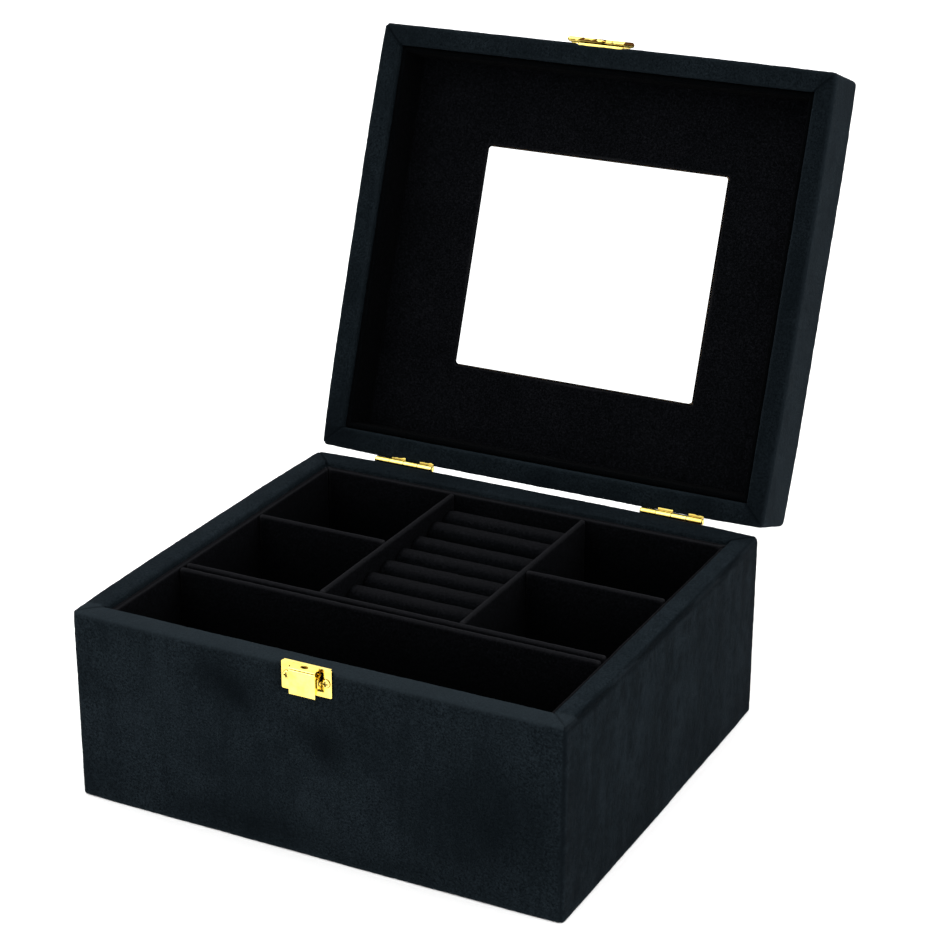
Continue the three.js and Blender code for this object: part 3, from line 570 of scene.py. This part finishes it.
def footprint(node, half_y, bottom, top, turn=None):
    """Lowest and highest corner of the part of a node that lies against the front or back.

    A hinge leaf's footprint stops short of the rim, so the padded edge by the knuckles stays full.
    """
    points = np.array([turn @ v.co if turn else v.co for v in frame["nodes"][node].data.vertices])
    seated = points[np.abs(np.abs(points[:, 1]) - half_y) < 1.5 * GLUE]
    low, high = seated.min(0), seated.max(0)
    if "hinge" in node:
        low[2] = max(low[2], bottom + KNUCKLE_EDGE)
        high[2] = min(high[2], top - KNUCKLE_EDGE)
    return low, high


def press_in(points, plates, half_y):
    """Seats metal plates in the padded front and back: under each one the suede lies flat."""
    for low, high in plates:
        across = np.maximum(np.maximum(low[0] - points[:, 0], points[:, 0] - high[0]), 0)
        above = np.maximum(np.maximum(low[2] - points[:, 2], points[:, 2] - high[2]), 0)
        facing = np.sign(points[:, 1]) == np.sign(low[1])
        allowed = half_y - PRESSED + PRESS_SLOPE * np.hypot(across, above)
        outside = np.abs(points[:, 1]) > half_y - SKIN / 2
        over = np.maximum(np.abs(points[:, 1]) - allowed, 0) * facing * outside
        points[:, 1] -= np.sign(points[:, 1]) * over
    return points


def base_cover():
    """The base's suede: up the outside, over the rim and down inside, one closed skin."""
    low, high = rest_box("base_cover")
    half_x, half_y, foot, rim = high[0] + PROUD, high[1] + PROUD, low[2], high[2]
    wall = half_x - rest_box("right_lining")[1][0] - GLUE
    crown = 0.2 * MM
    top = rim - crown
    outside = arc((FOOT_RADIUS, foot + FOOT_RADIUS), FOOT_RADIUS, 270, 180, 4)
    outside += line((0, foot + FOOT_RADIUS), (0, top - RIM_OUTER_RADIUS), COVER_STEP)
    outside += arc((RIM_OUTER_RADIUS, top - RIM_OUTER_RADIUS), RIM_OUTER_RADIUS, 180, 90, 6)
    across = line((RIM_OUTER_RADIUS, top), (wall - RIM_INNER_RADIUS, top), 0.9 * MM)
    outside += [(d, z + crown * math.sin(math.pi * d / wall)) for d, z in across]
    outside += arc((wall - RIM_INNER_RADIUS, top - RIM_INNER_RADIUS), RIM_INNER_RADIUS, 90, 0, 5)
    outside += line((wall, top - RIM_INNER_RADIUS), (wall, top - BASE_LIP), 2 * COVER_STEP)
    inside = [
        (wall, top - BASE_LIP), (wall - SKIN, top - BASE_LIP), (wall - SKIN, top - SKIN),
        (SKIN, top - SKIN), (SKIN, foot + SKIN), (FOOT_RADIUS, foot + SKIN / 2),
    ]
    profile = outside + inside

    def radius_at(inset):
        return max(CORNER_RADIUS - inset, 0.3 * MM, 0.7 * (inset - wall) + 1.2 * MM)

    counts = (round(2 * half_x / COVER_STEP), round(2 * half_y / COVER_STEP))
    rings = sweep_points(profile, half_x, half_y, radius_at, counts)
    faces = ring_faces(len(rings), len(rings[0]), closed=True)
    points = np.concatenate(rings)
    rise = np.clip(points[:, 2] / rim, 0, 1)
    on_rim = np.clip((rise - 0.9) / 0.08, 0, 1)
    points = swell(points, half_x, half_y, 0.5 + 0.5 * rise, on_rim, hinge_share=BASE_HINGE_CROWN)
    points = press_in(points, [footprint(node, high[1], foot, rim) for node in BASE_PLATES], high[1])
    piece = new_piece("base_suede", points, faces, "suede")
    mesh = piece.data
    mark_edges(mesh, EDGE_REACH)
    points = coordinates(mesh)
    crease = mitre_crease(points, half_x, half_y, wall, rim, 3 * MM)
    crease = np.maximum(crease, base_folds(points, half_x, half_y, rim))
    push_out(mesh, -FOLD_DEPTH * crease)
    nap(mesh, *COVER_NAP, 1)
    on_top = on_rim_top(points, rim)
    on_back_rim = (points[:, 1] > half_y - wall) * on_top
    # painted light: the front rim's flat, stored as worn, is painted lighter as if lit more strongly
    store(mesh, "worn", (points[:, 1] < wall - half_y) * on_top)
    # painted shade: the creases are painted darker; the back rim's flat is darkened as well
    brushed = brush_marks(points) + 1.4 * crease + 0.45 * on_back_rim
    store(mesh, "brushed", np.clip(brushed, 0, 1))
    return settle(piece, "base", "base_cover")


def on_rim_top(points, rim):
    """1 on the flat of a rim, 0 from about two millimetres below it."""
    return np.clip((points[:, 2] - rim + 2 * MM) / (1.5 * MM), 0, 1)


def base_folds(points, half_x, half_y, rim):
    """Where the base's suede is creased: along its right rim edge and down its upright seams."""
    wobble = ripple(points * (0, 1, 0), 24 * MM, 5)
    along = ripple(points * (0, 1, 0), 16 * MM, 6)
    edge_z = rim - (1.2 + 1.0 * wobble) * MM
    on_right = points[:, 0] > half_x - 1.6 * MM
    width = (1.5 + 0.8 * ripple(points * (0, 1, 0), 30 * MM, 7)) * MM
    crease = np.exp(-(((points[:, 2] - edge_z) / width) ** 2)) * on_right * (1.5 + 0.9 * along)
    broken = 0.55 + 0.45 * ripple(points * (0, 0, 1), 9 * MM, 8)
    seam_x = half_x - 1.3 * MM
    on_ends = np.abs(points[:, 1]) > half_y - 1.2 * MM
    seam = np.exp(-(((np.abs(points[:, 0]) - seam_x) / (0.5 * MM)) ** 2)) * on_ends * broken
    return np.maximum(crease, 0.8 * seam * (points[:, 2] < rim - 2 * MM))


# Places on the base's faces where the nap lies the dark way: x, y, z, then width and height.
BRUSH_MARKS = (
    ((-0.050, -0.117, 0.084), 0.013, 0.009),
    ((-0.038, -0.117, 0.076), 0.010, 0.009),
    ((0.004, -0.117, 0.066), 0.013, 0.008),
    ((0.010, -0.117, 0.056), 0.008, 0.008),
    ((0.095, -0.117, 0.045), 0.030, 0.030),
    ((-0.030, -0.117, 0.010), 0.040, 0.010),
)
RIGHT_FACE = 0.129  # beyond this X a point is on the base's right face


def brush_marks(points):
    total = np.zeros(len(points))
    for place, width, height in BRUSH_MARKS:
        off = points - np.array(place)
        across = np.hypot(off[:, 0], off[:, 1]) / width
        total += 0.7 * np.exp(-(across**2) - (off[:, 2] / height) ** 2)
    slow = 0.5 + 0.5 * ripple(points, 38 * MM, 11)
    fine = np.abs(ripple(points * (1, 1, 0.4), 3.2 * MM, 12))
    long = np.abs(ripple(points * (1, 1, 0.12), 8 * MM, 13))
    # painted light: streaks only on the right face, where grazing light shows up the grain
    on_right = points[:, 0] > RIGHT_FACE
    grain = np.clip(ripple(points, 1.7 * MM, 14), 0, 1)
    painted_grazing_streaks = fine + 0.8 * long + 0.8 * grain
    return total + 0.25 * np.clip(slow - 0.55, 0, 1) / 0.45 + painted_grazing_streaks * on_right


def grid_fill(loop_x, loop_y, z):
    """Points and quads of a flat grid over the given X and Y lines."""
    x, y = np.meshgrid(loop_x, loop_y, indexing="ij")
    points = np.column_stack([x.ravel(), y.ravel(), np.full(x.size, z)])
    index = np.arange(x.size).reshape(x.shape)
    quads = [index[:-1, :-1], index[1:, :-1], index[1:, 1:], index[:-1, 1:]]
    return points, np.stack([q.ravel() for q in quads], 1)


def lid_cover():
    """The lid's suede: lip, rim, sides and the whole top, with a closed inner face."""
    low, high = shut_box("lid_cover")
    half_x, half_y, rim, top = high[0] + PROUD, high[1] + PROUD, low[2], high[2]
    wall = half_x - shut_box("lid_lining_band")[1][0] - GLUE
    crown = 0.2 * MM
    face = rim + crown
    outside = [(wall, rim + LID_LIP)]
    outside += line((wall, rim + LID_LIP), (wall, face + RIM_INNER_RADIUS), 2 * LID_COVER_STEP)
    outside += arc((wall - RIM_INNER_RADIUS, face + RIM_INNER_RADIUS), RIM_INNER_RADIUS, 0, -90, 5)
    across = line((wall - RIM_INNER_RADIUS, face), (RIM_OUTER_RADIUS, face), 0.9 * MM)
    outside += [(d, z - crown * math.sin(math.pi * d / wall)) for d, z in across]
    outside += arc((RIM_OUTER_RADIUS, face + RIM_OUTER_RADIUS), RIM_OUTER_RADIUS, 270, 180, 6)
    outside += line((0, face + RIM_OUTER_RADIUS), (0, top - RIM_OUTER_RADIUS), LID_COVER_STEP)
    outside += arc((RIM_OUTER_RADIUS, top - RIM_OUTER_RADIUS), RIM_OUTER_RADIUS, 180, 90, 6)
    outside += line((RIM_OUTER_RADIUS, top), (TOP_PANEL_EDGE, top), LID_COVER_STEP)
    outside += [(TOP_PANEL_EDGE, top)]
    inside = [
        (wall - SKIN, rim + LID_LIP), (wall - SKIN, rim + SKIN), (SKIN, rim + SKIN),
        (SKIN, top - SKIN), (TOP_PANEL_EDGE, top - SKIN),
    ]

    def radius_at(inset):
        if inset >= TOP_PANEL_EDGE - 1e-9 and inset < wall - RIM_INNER_RADIUS:
            return 0.0
        return max(CORNER_RADIUS - inset, 0.0, 0.7 * (inset - wall) + 1.2 * MM)

    counts = (round(2 * half_x / LID_COVER_STEP), round(2 * half_y / LID_COVER_STEP))
    outer = sweep_points(outside, half_x, half_y, radius_at, counts)
    inner = sweep_points(inside, half_x, half_y, radius_at, counts)
    count = len(outer[0])
    rings = inner[::-1] + outer
    faces = [ring_faces(len(rings), count, closed=False)]
    points = [np.concatenate(rings)]
    panel_x, panel_y = half_x - TOP_PANEL_EDGE, half_y - TOP_PANEL_EDGE
    grid_x = side_places(2 * panel_x, counts[0]) - panel_x
    grid_y = side_places(2 * panel_y, counts[1]) - panel_y
    for z in (top, top - SKIN):
        more, quads = grid_fill(grid_x, grid_y, z)
        faces.append(quads + sum(len(p) for p in points))
        points.append(more)
    points = np.concatenate(points)
    fall = np.clip((top - points[:, 2]) / (top - rim), 0, 1)
    rim_share = -0.8 * np.clip((fall - 0.8) / 0.15, 0, 1)
    points = swell(points, half_x, half_y, np.ones(len(points)), rim_share, LID_FRONT_SHARE, 0)
    plates = [footprint(node, high[1], rim, top, TO_SHUT) for node in LID_PLATES]
    points = press_in(points, plates, high[1])
    piece = new_piece("lid_suede", points, np.concatenate(faces), "suede")
    mesh = piece.data
    mark_edges(mesh, EDGE_REACH)
    points = coordinates(mesh)
    crease = mitre_crease(points, half_x, half_y, wall, rim, 3 * MM)
    push_out(mesh, -MITRE_DEPTH * crease)
    nap(mesh, *COVER_NAP, 4)
    slow = 0.5 + 0.5 * ripple(points, 38 * MM, 21)
    on_rim = np.clip((rim + 2 * MM - points[:, 2]) / (1.5 * MM), 0, 1)
    right = np.clip((points[:, 0] - half_x + wall) / (2 * MM), 0, 1)
    blotch = np.clip(ripple(points, 18 * MM, 22), 0, 1) * (points[:, 1] > half_y - wall)
    on_rim = on_rim * (0.35 + 0.3 * right + 0.6 * blotch)
    # painted shade: the mitre creases are painted darker; the rim is darkened as well, more to the
    # right and in blotches on the hinge side
    brushed = 0.3 * np.clip(slow - 0.5, 0, 1) / 0.5 + 0.9 * crease + on_rim
    store(mesh, "brushed", np.clip(brushed, 0, 1))
    return settle(piece, "lid", "lid_cover")


# ---------------------------------------------------------------- velvet boards
def lattice(xs, ys, zs):
    """Points and quads of the surface of a box whose grid lines are given."""
    shape = (len(xs), len(ys), len(zs))
    index = np.full(shape, -1)
    on = np.zeros(shape, bool)
    for axis in range(3):
        for end in (0, -1):
            pick = [slice(None)] * 3
            pick[axis] = end
            on[tuple(pick)] = True
    index[on] = np.arange(on.sum())
    grid = np.stack(np.meshgrid(xs, ys, zs, indexing="ij"), -1)
    faces = []
    for axis in range(3):
        for end in (0, -1):
            pick = [slice(None)] * 3
            pick[axis] = end
            side = index[tuple(pick)]
            quads = [side[:-1, :-1], side[1:, :-1], side[1:, 1:], side[:-1, 1:]]
            faces.append(np.stack([q.ravel() for q in quads], 1))
    return grid[on], np.concatenate(faces)


def grid_lines(low, high, radius, step):
    """Grid lines across one side of a board: close together in its rounded ends."""
    count = max(2, round((high - low - 2 * radius) / step))
    middle = np.linspace(low + radius, high - radius, count + 1)
    ends = np.array([0, 0.3, 0.65]) * radius
    return np.concatenate([low + ends, middle, high - ends[::-1]])


def rounded_slab(low, high, radius, step):
    """Points and quads of a box whose edges and corners are rounded."""
    lines = [grid_lines(low[k], high[k], radius, step) for k in range(3)]
    points, faces = lattice(*lines)
    core = np.clip(points, low + radius, high - radius)
    off = points - core
    length = np.linalg.norm(off, axis=1, keepdims=True)
    return core + off / np.maximum(length, 1e-12) * radius * (length > 1e-12), faces


def velvet_slab(name, low, high, radius, seed, step=VELVET_STEP):
    points, faces = rounded_slab(np.array(low), np.array(high), radius, step)
    piece = new_piece(name, points, faces, "velvet")
    mark_edges(piece.data, VELVET_REACH)
    nap(piece.data, 0.08 * MM, 0.07 * MM, 0.1 * MM, seed)
    return piece


def shade_depths(mesh, top, reach, most):
    """Painted shade: the velvet is painted darker further down inside a compartment."""
    drop = (top - coordinates(mesh)[:, 2]) / reach
    store(mesh, "painted_occlusion_shade", np.clip(drop, 0, 1) * most)


DIVIDERS = (
    "front_divider", "tray_front_board", "left_long_divider", "right_long_divider",
    "left_cross_divider", "right_cross_divider",
)


def dividers():
    for seed, node in enumerate(DIVIDERS):
        low, high = rest_box(node)
        piece = velvet_slab(node + "_velvet", low, high, 1.45 * MM, 30 + seed)
        shade_depths(piece.data, high[2], 30 * MM, 0.75)
        settle(piece, "base", node)


def linings():
    """Four boards whose ends are mitred into the corners."""
    for seed, side in enumerate(("front", "back", "left", "right")):
        node = side + "_lining"
        low, high = rest_box(node)
        if side == "right":
            high[2] -= 0.8 * MM
        piece = velvet_slab(node + "_velvet", low, high, 1.1 * MM, 40 + seed)
        points = coordinates(piece.data)
        across = 1 if side in ("front", "back") else 0
        if low[across] > 0:
            inward = high[across] - points[:, across]
        else:
            inward = points[:, across] - low[across]
        along = 1 - across
        half = high[along]
        points[:, along] *= (half - np.clip(inward, 0, None)) / half
        set_coordinates(piece.data, points)
        shade_depths(piece.data, high[2], 30 * MM, 0.85)
        settle(piece, "base", node)


# ---------------------------------------------------------------- padded pieces
def inflate(piece, pressure, pinned, frames, cap, stiffness=6.0):
    """Swells a closed mesh as cloth over its filling and keeps each point within cap of its start."""
    start = coordinates(piece.data)
    group = piece.vertex_groups.new(name="held")
    group.add([int(i) for i in np.nonzero(pinned)[0]], 1.0, "REPLACE")
    cloth = piece.modifiers.new("stuffing", "CLOTH")
    values = cloth.settings
    values.quality = 5
    values.mass = 0.15
    values.use_pressure = True
    values.uniform_pressure_force = pressure
    values.tension_stiffness = stiffness
    values.compression_stiffness = stiffness
    values.bending_stiffness = 0.2
    values.effector_weights.gravity = 0
    values.vertex_group_mass = "held"
    scene = bpy.context.scene
    for number in range(1, frames + 1):
        scene.frame_set(number)
    shown = piece.evaluated_get(bpy.context.evaluated_depsgraph_get())
    moved = coordinates(shown.to_mesh())
    shown.to_mesh_clear()
    piece.modifiers.remove(cloth)
    piece.vertex_groups.remove(group)
    scene.frame_set(1)
    off = moved - start
    length = np.linalg.norm(off, axis=1, keepdims=True)
    set_coordinates(piece.data, start + off * np.minimum(1, cap / np.maximum(length, 1e-9)))


def subdivide_once(piece):
    made = bmesh.new()
    made.from_mesh(piece.data)
    bmesh.ops.subdivide_edges(made, edges=made.edges, cuts=1, use_grid_fill=True, smooth=0.0)
    every_way = {"use_axis_x": True, "use_axis_y": True, "use_axis_z": True}
    for _ in range(2):
        bmesh.ops.smooth_vert(made, verts=made.verts, factor=0.5, **every_way)
    made.to_mesh(piece.data)
    made.free()
    piece.data.shade_smooth()


ROLL_STARTS_SMALLER = 0.35 * MM
ROLL_SIDES = 36
ROLL_END_RADIUS = 0.9 * MM


def roll_shape(low, high):
    """A plump roll along X: rings of points closed by a rounded end at each side."""
    radius = (high[1] - low[1]) / 2 - ROLL_STARTS_SMALLER
    middle_y, middle_z = (low[1] + high[1]) / 2, (low[2] + high[2]) / 2
    half = (high[0] - low[0]) / 2 - 0.15 * MM
    turns = np.radians((0, 30, 60, 90))
    end_x = half - ROLL_END_RADIUS + ROLL_END_RADIUS * np.sin(turns)
    end_radius = radius - ROLL_END_RADIUS * (1 - np.cos(turns))
    ends = list(zip(end_x, end_radius))
    ends += [(half, radius * share) for share in (0.55, 0.25)]
    straight = np.linspace(-ends[0][0], ends[0][0], 36)[1:-1]
    rings = [(-x, r) for x, r in reversed(ends)] + [(x, radius) for x in straight] + ends
    angles = np.arange(ROLL_SIDES) / ROLL_SIDES * 2 * math.pi
    points = [
        np.column_stack([
            np.full(ROLL_SIDES, x), middle_y + r * np.cos(angles), middle_z + r * np.sin(angles),
        ])
        for x, r in rings
    ]
    faces = ring_faces(len(rings), ROLL_SIDES, closed=False).tolist()
    faces.append(list(range(ROLL_SIDES)))
    faces.append(list(range((len(rings) - 1) * ROLL_SIDES, len(rings) * ROLL_SIDES)))
    return np.concatenate(points), faces


def ring_rolls():
    nodes = sorted(n for n in frame["nodes"] if n.startswith("ring_roll_") and n != "ring_roll_bed")
    for seed, node in enumerate(nodes):
        low, high = rest_box(node)
        points, faces = roll_shape(low, high)
        piece = new_piece(node + "_velvet", points, faces, "velvet")
        underneath = points[:, 2] < low[2] + 2.5 * MM
        inflate(piece, 4 + 0.4 * math.sin(seed), underneath, 16, 0.9 * MM)
        subdivide_once(piece)
        shape = coordinates(piece.data)
        room = (high[1] - low[1]) / 2 + 0.15 * MM
        middle = (low[1] + high[1]) / 2
        shape[:, 1] = middle + np.clip(shape[:, 1] - middle, -room, room)
        shape[:, 0] = np.clip(shape[:, 0], low[0] + 0.1 * MM, high[0] - 0.1 * MM)
        set_coordinates(piece.data, shape)
        shape = coordinates(piece.data)
        from_end = np.minimum(shape[:, 0] - low[0], high[0] - shape[:, 0])
        # painted highlight: the roll's crest is stored as edge and painted lighter
        crest_highlight = np.clip(1 - (high[2] - shape[:, 2]) / (3.5 * MM), 0, 1)
        store(piece.data, "edge", 0.5 * crest_highlight * np.clip(from_end / (3 * MM), 0, 1))
        # painted shade: the roll is painted darker below its crest and towards its ends
        painted_occlusion_shade = (high[2] - 1.2 * MM - shape[:, 2]) / (5 * MM)
        store(piece.data, "painted_occlusion_shade", np.clip(np.maximum(painted_occlusion_shade, 1 - from_end / (2 * MM)), 0, 1))
        nap(piece.data, 0.12 * MM, 0.12 * MM, 0.1 * MM, 60 + seed)
        settle(piece, "base", node)


def floor_mat():
    """A thin padded mat that swells in each compartment and is pinched under the dividers."""
    low, high = rest_box("floor_mat")
    step = 3 * MM
    tucked = np.array([MAT_TUCK, MAT_TUCK, 0])
    points, faces = rounded_slab(low - tucked, high + tucked - (0, 0, 0.3 * MM), 1.0 * MM, step)
    piece = new_piece("floor_mat_velvet", points, faces, "velvet")
    start = coordinates(piece.data)
    held = start[:, 2] < low[2] + 1.0 * MM
    for node in DIVIDERS:
        near, far = rest_box(node)
        margin = 2 * MM
        inside = (start[:, 0] > near[0] - margin) & (start[:, 0] < far[0] + margin)
        held |= inside & (start[:, 1] > near[1] - margin) & (start[:, 1] < far[1] + margin)
    inflate(piece, 2.5, held, 14, 0.9 * MM)
    subdivide_once(piece)
    mark_edges(piece.data, VELVET_REACH)
    shade_depths(piece.data, high[2] + 30 * MM, 30 * MM, 0.8)
    nap(piece.data, 0.05 * MM, 0.08 * MM, 0.08 * MM, 80)
    return settle(piece, "base", "floor_mat")


def roll_bed():
    low, high = rest_box("ring_roll_bed")
    points, faces = rounded_slab(low, high, 1.5 * MM, 4 * MM)
    piece = new_piece("ring_roll_foam", points, faces, "foam")
    nap(piece.data, 0.2 * MM, 0.2 * MM, 0.1 * MM, 90)
    return settle(piece, "base", "ring_roll_bed")


# ---------------------------------------------------------------- lid lining and mirror
def lid_band():
    """The velvet band round the inside of the lid, from near the rim down to the panel."""
    low, high = shut_box("lid_lining_band")
    thickness = 2.8 * MM
    radius = 1.2 * MM
    profile = arc((thickness - radius, low[2] + radius), radius, 0, -90, 5)
    profile = profile[::-1]
    profile = arc((radius, low[2] + radius), radius, 180, 270, 4) + profile
    profile += line((thickness, low[2] + radius), (thickness, high[2]), VELVET_STEP)
    profile += [(thickness, high[2]), (0, high[2])]
    profile += line((0, high[2]), (0, low[2] + radius), 4 * MM)
    counts = (round(2 * high[0] / VELVET_STEP), round(2 * high[1] / VELVET_STEP))
    rings = sweep_points(profile, high[0], high[1], lambda inset: 0.4 * MM, counts)
    faces = ring_faces(len(rings), len(rings[0]), closed=True)
    piece = new_piece("lid_band_velvet", np.concatenate(rings), faces, "velvet")
    # painted shade: the whole lid band is painted darker
    store(piece.data, "painted_occlusion_shade", np.full(len(piece.data.vertices), 0.85))
    nap(piece.data, 0.1 * MM, 0.08 * MM, 0.1 * MM, 50)
    return settle(piece, "lid", "lid_lining_band")


def lid_panel():
    """The velvet panel: rings that run from its outer edge in to the mirror's window."""
    low, high = shut_box("lid_liner_panel")
    glass_low, glass_high = shut_box("mirror")
    window = (glass_high - glass_low)[:2] / 2 + GLUE
    middle = (glass_high + glass_low)[:2] / 2
    half = (high - low)[:2] / 2
    radius = 0.9 * MM
    counts = (round(2 * half[0] / VELVET_STEP), round(2 * half[1] / VELVET_STEP))
    corner = 2 * MM

    def ring(share, z, inward=0.0):
        size = half + (window - half) * share + inward * np.array([1, 1])
        loop = rectangle_loop(size[0], size[1], max(corner * share + inward, 0.2 * MM), counts)
        return np.column_stack([loop + middle * share, np.full(len(loop), z)])

    count = round(float((half - window).max()) / VELVET_STEP)
    rings = [ring(0, high[2]), ring(0, low[2] + radius)]
    rings += [ring(i / count, low[2]) for i in range(count)]
    for angle in np.radians((75, 50, 25, 0)):
        drop = radius * (1 - math.sin(angle))
        rings.append(ring(1, low[2] + drop, radius * math.sin(angle) * 0.9))
    rings.append(ring(1, high[2]))
    rings.append(ring(0.5, high[2]))
    faces = ring_faces(len(rings), len(rings[0]), closed=True)
    piece = new_piece("lid_panel_velvet", np.concatenate(rings), faces, "velvet")
    mark_edges(piece.data, VELVET_REACH)
    nap(piece.data, 0.1 * MM, 0.06 * MM, 0.09 * MM, 52)
    return settle(piece, "lid", "lid_liner_panel")


def mirror():
    """A glass plate with a ground bevel round its face and eased corners."""
    low, high = shut_box("mirror")
    half = (high - low)[:2] / 2
    middle = (high + low)[:2] / 2
    bevel = 0.35 * MM
    counts = (40, 34)
    profile = [(20 * MM, high[2]), (2 * MM, high[2]), (0.2 * MM, high[2]), (0, high[2] - 0.2 * MM)]
    profile += [(0, low[2] + bevel), (bevel * 0.4, low[2] + bevel * 0.4), (bevel, low[2])]
    profile += [(1.2 * MM, low[2]), (20 * MM, low[2])]
    rings = sweep_points(
        profile, half[0], half[1], lambda inset: max(2 * MM - inset, 0.3 * MM), counts, middle
    )
    count = len(rings[0])
    faces = ring_faces(len(rings), count, closed=False).tolist()
    faces.append(list(range(count)))
    faces.append(list(range((len(rings) - 1) * count, len(rings) * count)))
    piece = new_piece("mirror_glass", np.concatenate(rings), faces, "mirror_glass")
    piece.data.set_sharp_from_angle(angle=math.radians(20))
    return settle(piece, "lid", "mirror")


# ---------------------------------------------------------------- hardware
WING_DEPTH = 2.4 * MM  # how far back from its front edge the keeper's wing carries painted dark reflections
HARDWARE = {
    "latch_plate": 0.14, "latch_flap": 0.16, "keeper": 0.16, "latch_pin": 0.08,
    "latch_screw_left": 0.1, "latch_screw_right": 0.1,
}


def bevelled_copy(node, body, width, slot="brass", angle=28):
    """A finer solid from a node's own shape: flat faces rejoined, every sharp edge rounded."""
    source = frame["nodes"][node].data.copy()
    made = bmesh.new()
    made.from_mesh(source)
    bmesh.ops.remove_doubles(made, verts=made.verts, dist=1e-6)
    bmesh.ops.dissolve_limit(made, angle_limit=math.radians(1), verts=made.verts, edges=made.edges)
    made.to_mesh(source)
    made.free()
    for name in list(source.attributes.keys()):
        if name in ("custom_normal", "sharp_edge", "sharp_face"):
            source.attributes.remove(source.attributes[name])
    source.materials.clear()
    source.materials.append(MATERIALS[slot])
    piece = bpy.data.objects.new(node + "_" + slot, source)
    bpy.context.scene.collection.objects.link(piece)
    round_over = piece.modifiers.new("round_over", "BEVEL")
    round_over.width = width
    round_over.segments = 2
    round_over.limit_method = "ANGLE"
    round_over.angle_limit = math.radians(angle)
    round_over.use_clamp_overlap = True
    source.shade_smooth()
    weighted = piece.modifiers.new("even_shading", "WEIGHTED_NORMAL")
    weighted.keep_sharp = True
    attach(piece, body)
    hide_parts(node)
    return piece


def hardware():
    slots = {row["node"]: row["material_slot"] for row in frame["record"]["subparts"]}
    for body, empty in frame["bodies"].items():
        for child in list(empty.children):
            node = child.get("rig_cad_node")
            if node and slots.get(node) in ("brass", "spring_steel"):
                piece = bevelled_copy(node, body, HARDWARE.get(node, 0.12) * MM, slots[node])
                if node == "keeper":
                    mark_wing(piece)


def mark_wing(keeper):
    """The keeper's wing, and not its plate, carries painted dark reflections."""
    front = shut_box("keeper")[0][1]
    depths = np.array([(TO_SHUT @ v.co)[1] for v in keeper.data.vertices])
    store(keeper.data, "painted_dark_reflection", (depths < front + WING_DEPTH).astype(float))


def carried_nodes():
    """The CAD nodes that stay as they are get their slot's material."""
    slots = {row["node"]: row["material_slot"] for row in frame["record"]["subparts"]}
    for name, node in frame["nodes"].items():
        node.data.materials.clear()
        node.data.materials.append(MATERIALS[slots[name]])


# ---------------------------------------------------------------- studio
def studio():
    world = bpy.data.worlds.new("white_studio")
    world.use_nodes = True
    world.node_tree.nodes["Background"].inputs["Color"].default_value = (1, 1, 1, 1)
    world.node_tree.nodes["Background"].inputs["Strength"].default_value = 1.5
    bpy.context.scene.world = world
    bpy.context.scene.view_settings.view_transform = "Standard"

    half = 6.0
    lines = np.linspace(-half, half, 9)
    points, faces = grid_fill(lines, lines, 0.0)
    mesh = bpy.data.meshes.new("floor")
    mesh.from_pydata(points.tolist(), [], faces.tolist())
    mesh.materials.append(floor_material())
    floor = bpy.data.objects.new("floor", mesh)
    bpy.context.scene.collection.objects.link(floor)

    softbox("key_softbox", (-1.1, -1.3, 1.9), 1.4, 16)
    softbox("top_softbox", (0.3, 0.2, 2.4), 1.6, 14)
    softbox("side_softbox", (1.9, 0.5, 0.9), 0.9, 13)


def softbox(name, place, size, power):
    light = bpy.data.lights.new(name, "AREA")
    light.shape = "SQUARE"
    light.size = size
    light.energy = power
    lamp = bpy.data.objects.new(name, light)
    lamp.location = place
    aim = Vector((0, 0, 0.12)) - Vector(place)
    lamp.rotation_mode = "QUATERNION"
    lamp.rotation_quaternion = aim.to_track_quat("-Z", "Y")
    bpy.context.scene.collection.objects.link(lamp)


def camera():
    azimuth, elevation = math.radians(CAMERA_AZIMUTH), math.radians(CAMERA_ELEVATION)
    roll = math.radians(CAMERA_ROLL)
    forward = Vector((
        -math.sin(azimuth) * math.cos(elevation),
        math.cos(azimuth) * math.cos(elevation),
        -math.sin(elevation),
    ))
    level = Vector((math.cos(azimuth), math.sin(azimuth), 0))
    upright = level.cross(forward)
    right = math.cos(roll) * level + math.sin(roll) * upright
    up = right.cross(forward)
    data = bpy.data.cameras.new("camera")
    data.lens = CAMERA_LENS
    data.sensor_width = 36
    data.clip_start = 0.05
    data.clip_end = 50
    view = bpy.data.objects.new("camera", data)
    turned = Matrix((right, up, -forward)).transposed().to_4x4()
    view.matrix_world = Matrix.Translation(CAMERA_PLACE) @ turned
    bpy.context.scene.collection.objects.link(view)
    bpy.context.scene.camera = view


camera()
studio()
carried_nodes()
base_cover()
lid_cover()
linings()
dividers()
roll_bed()
ring_rolls()
floor_mat()
lid_band()
lid_panel()
mirror()
hardware()
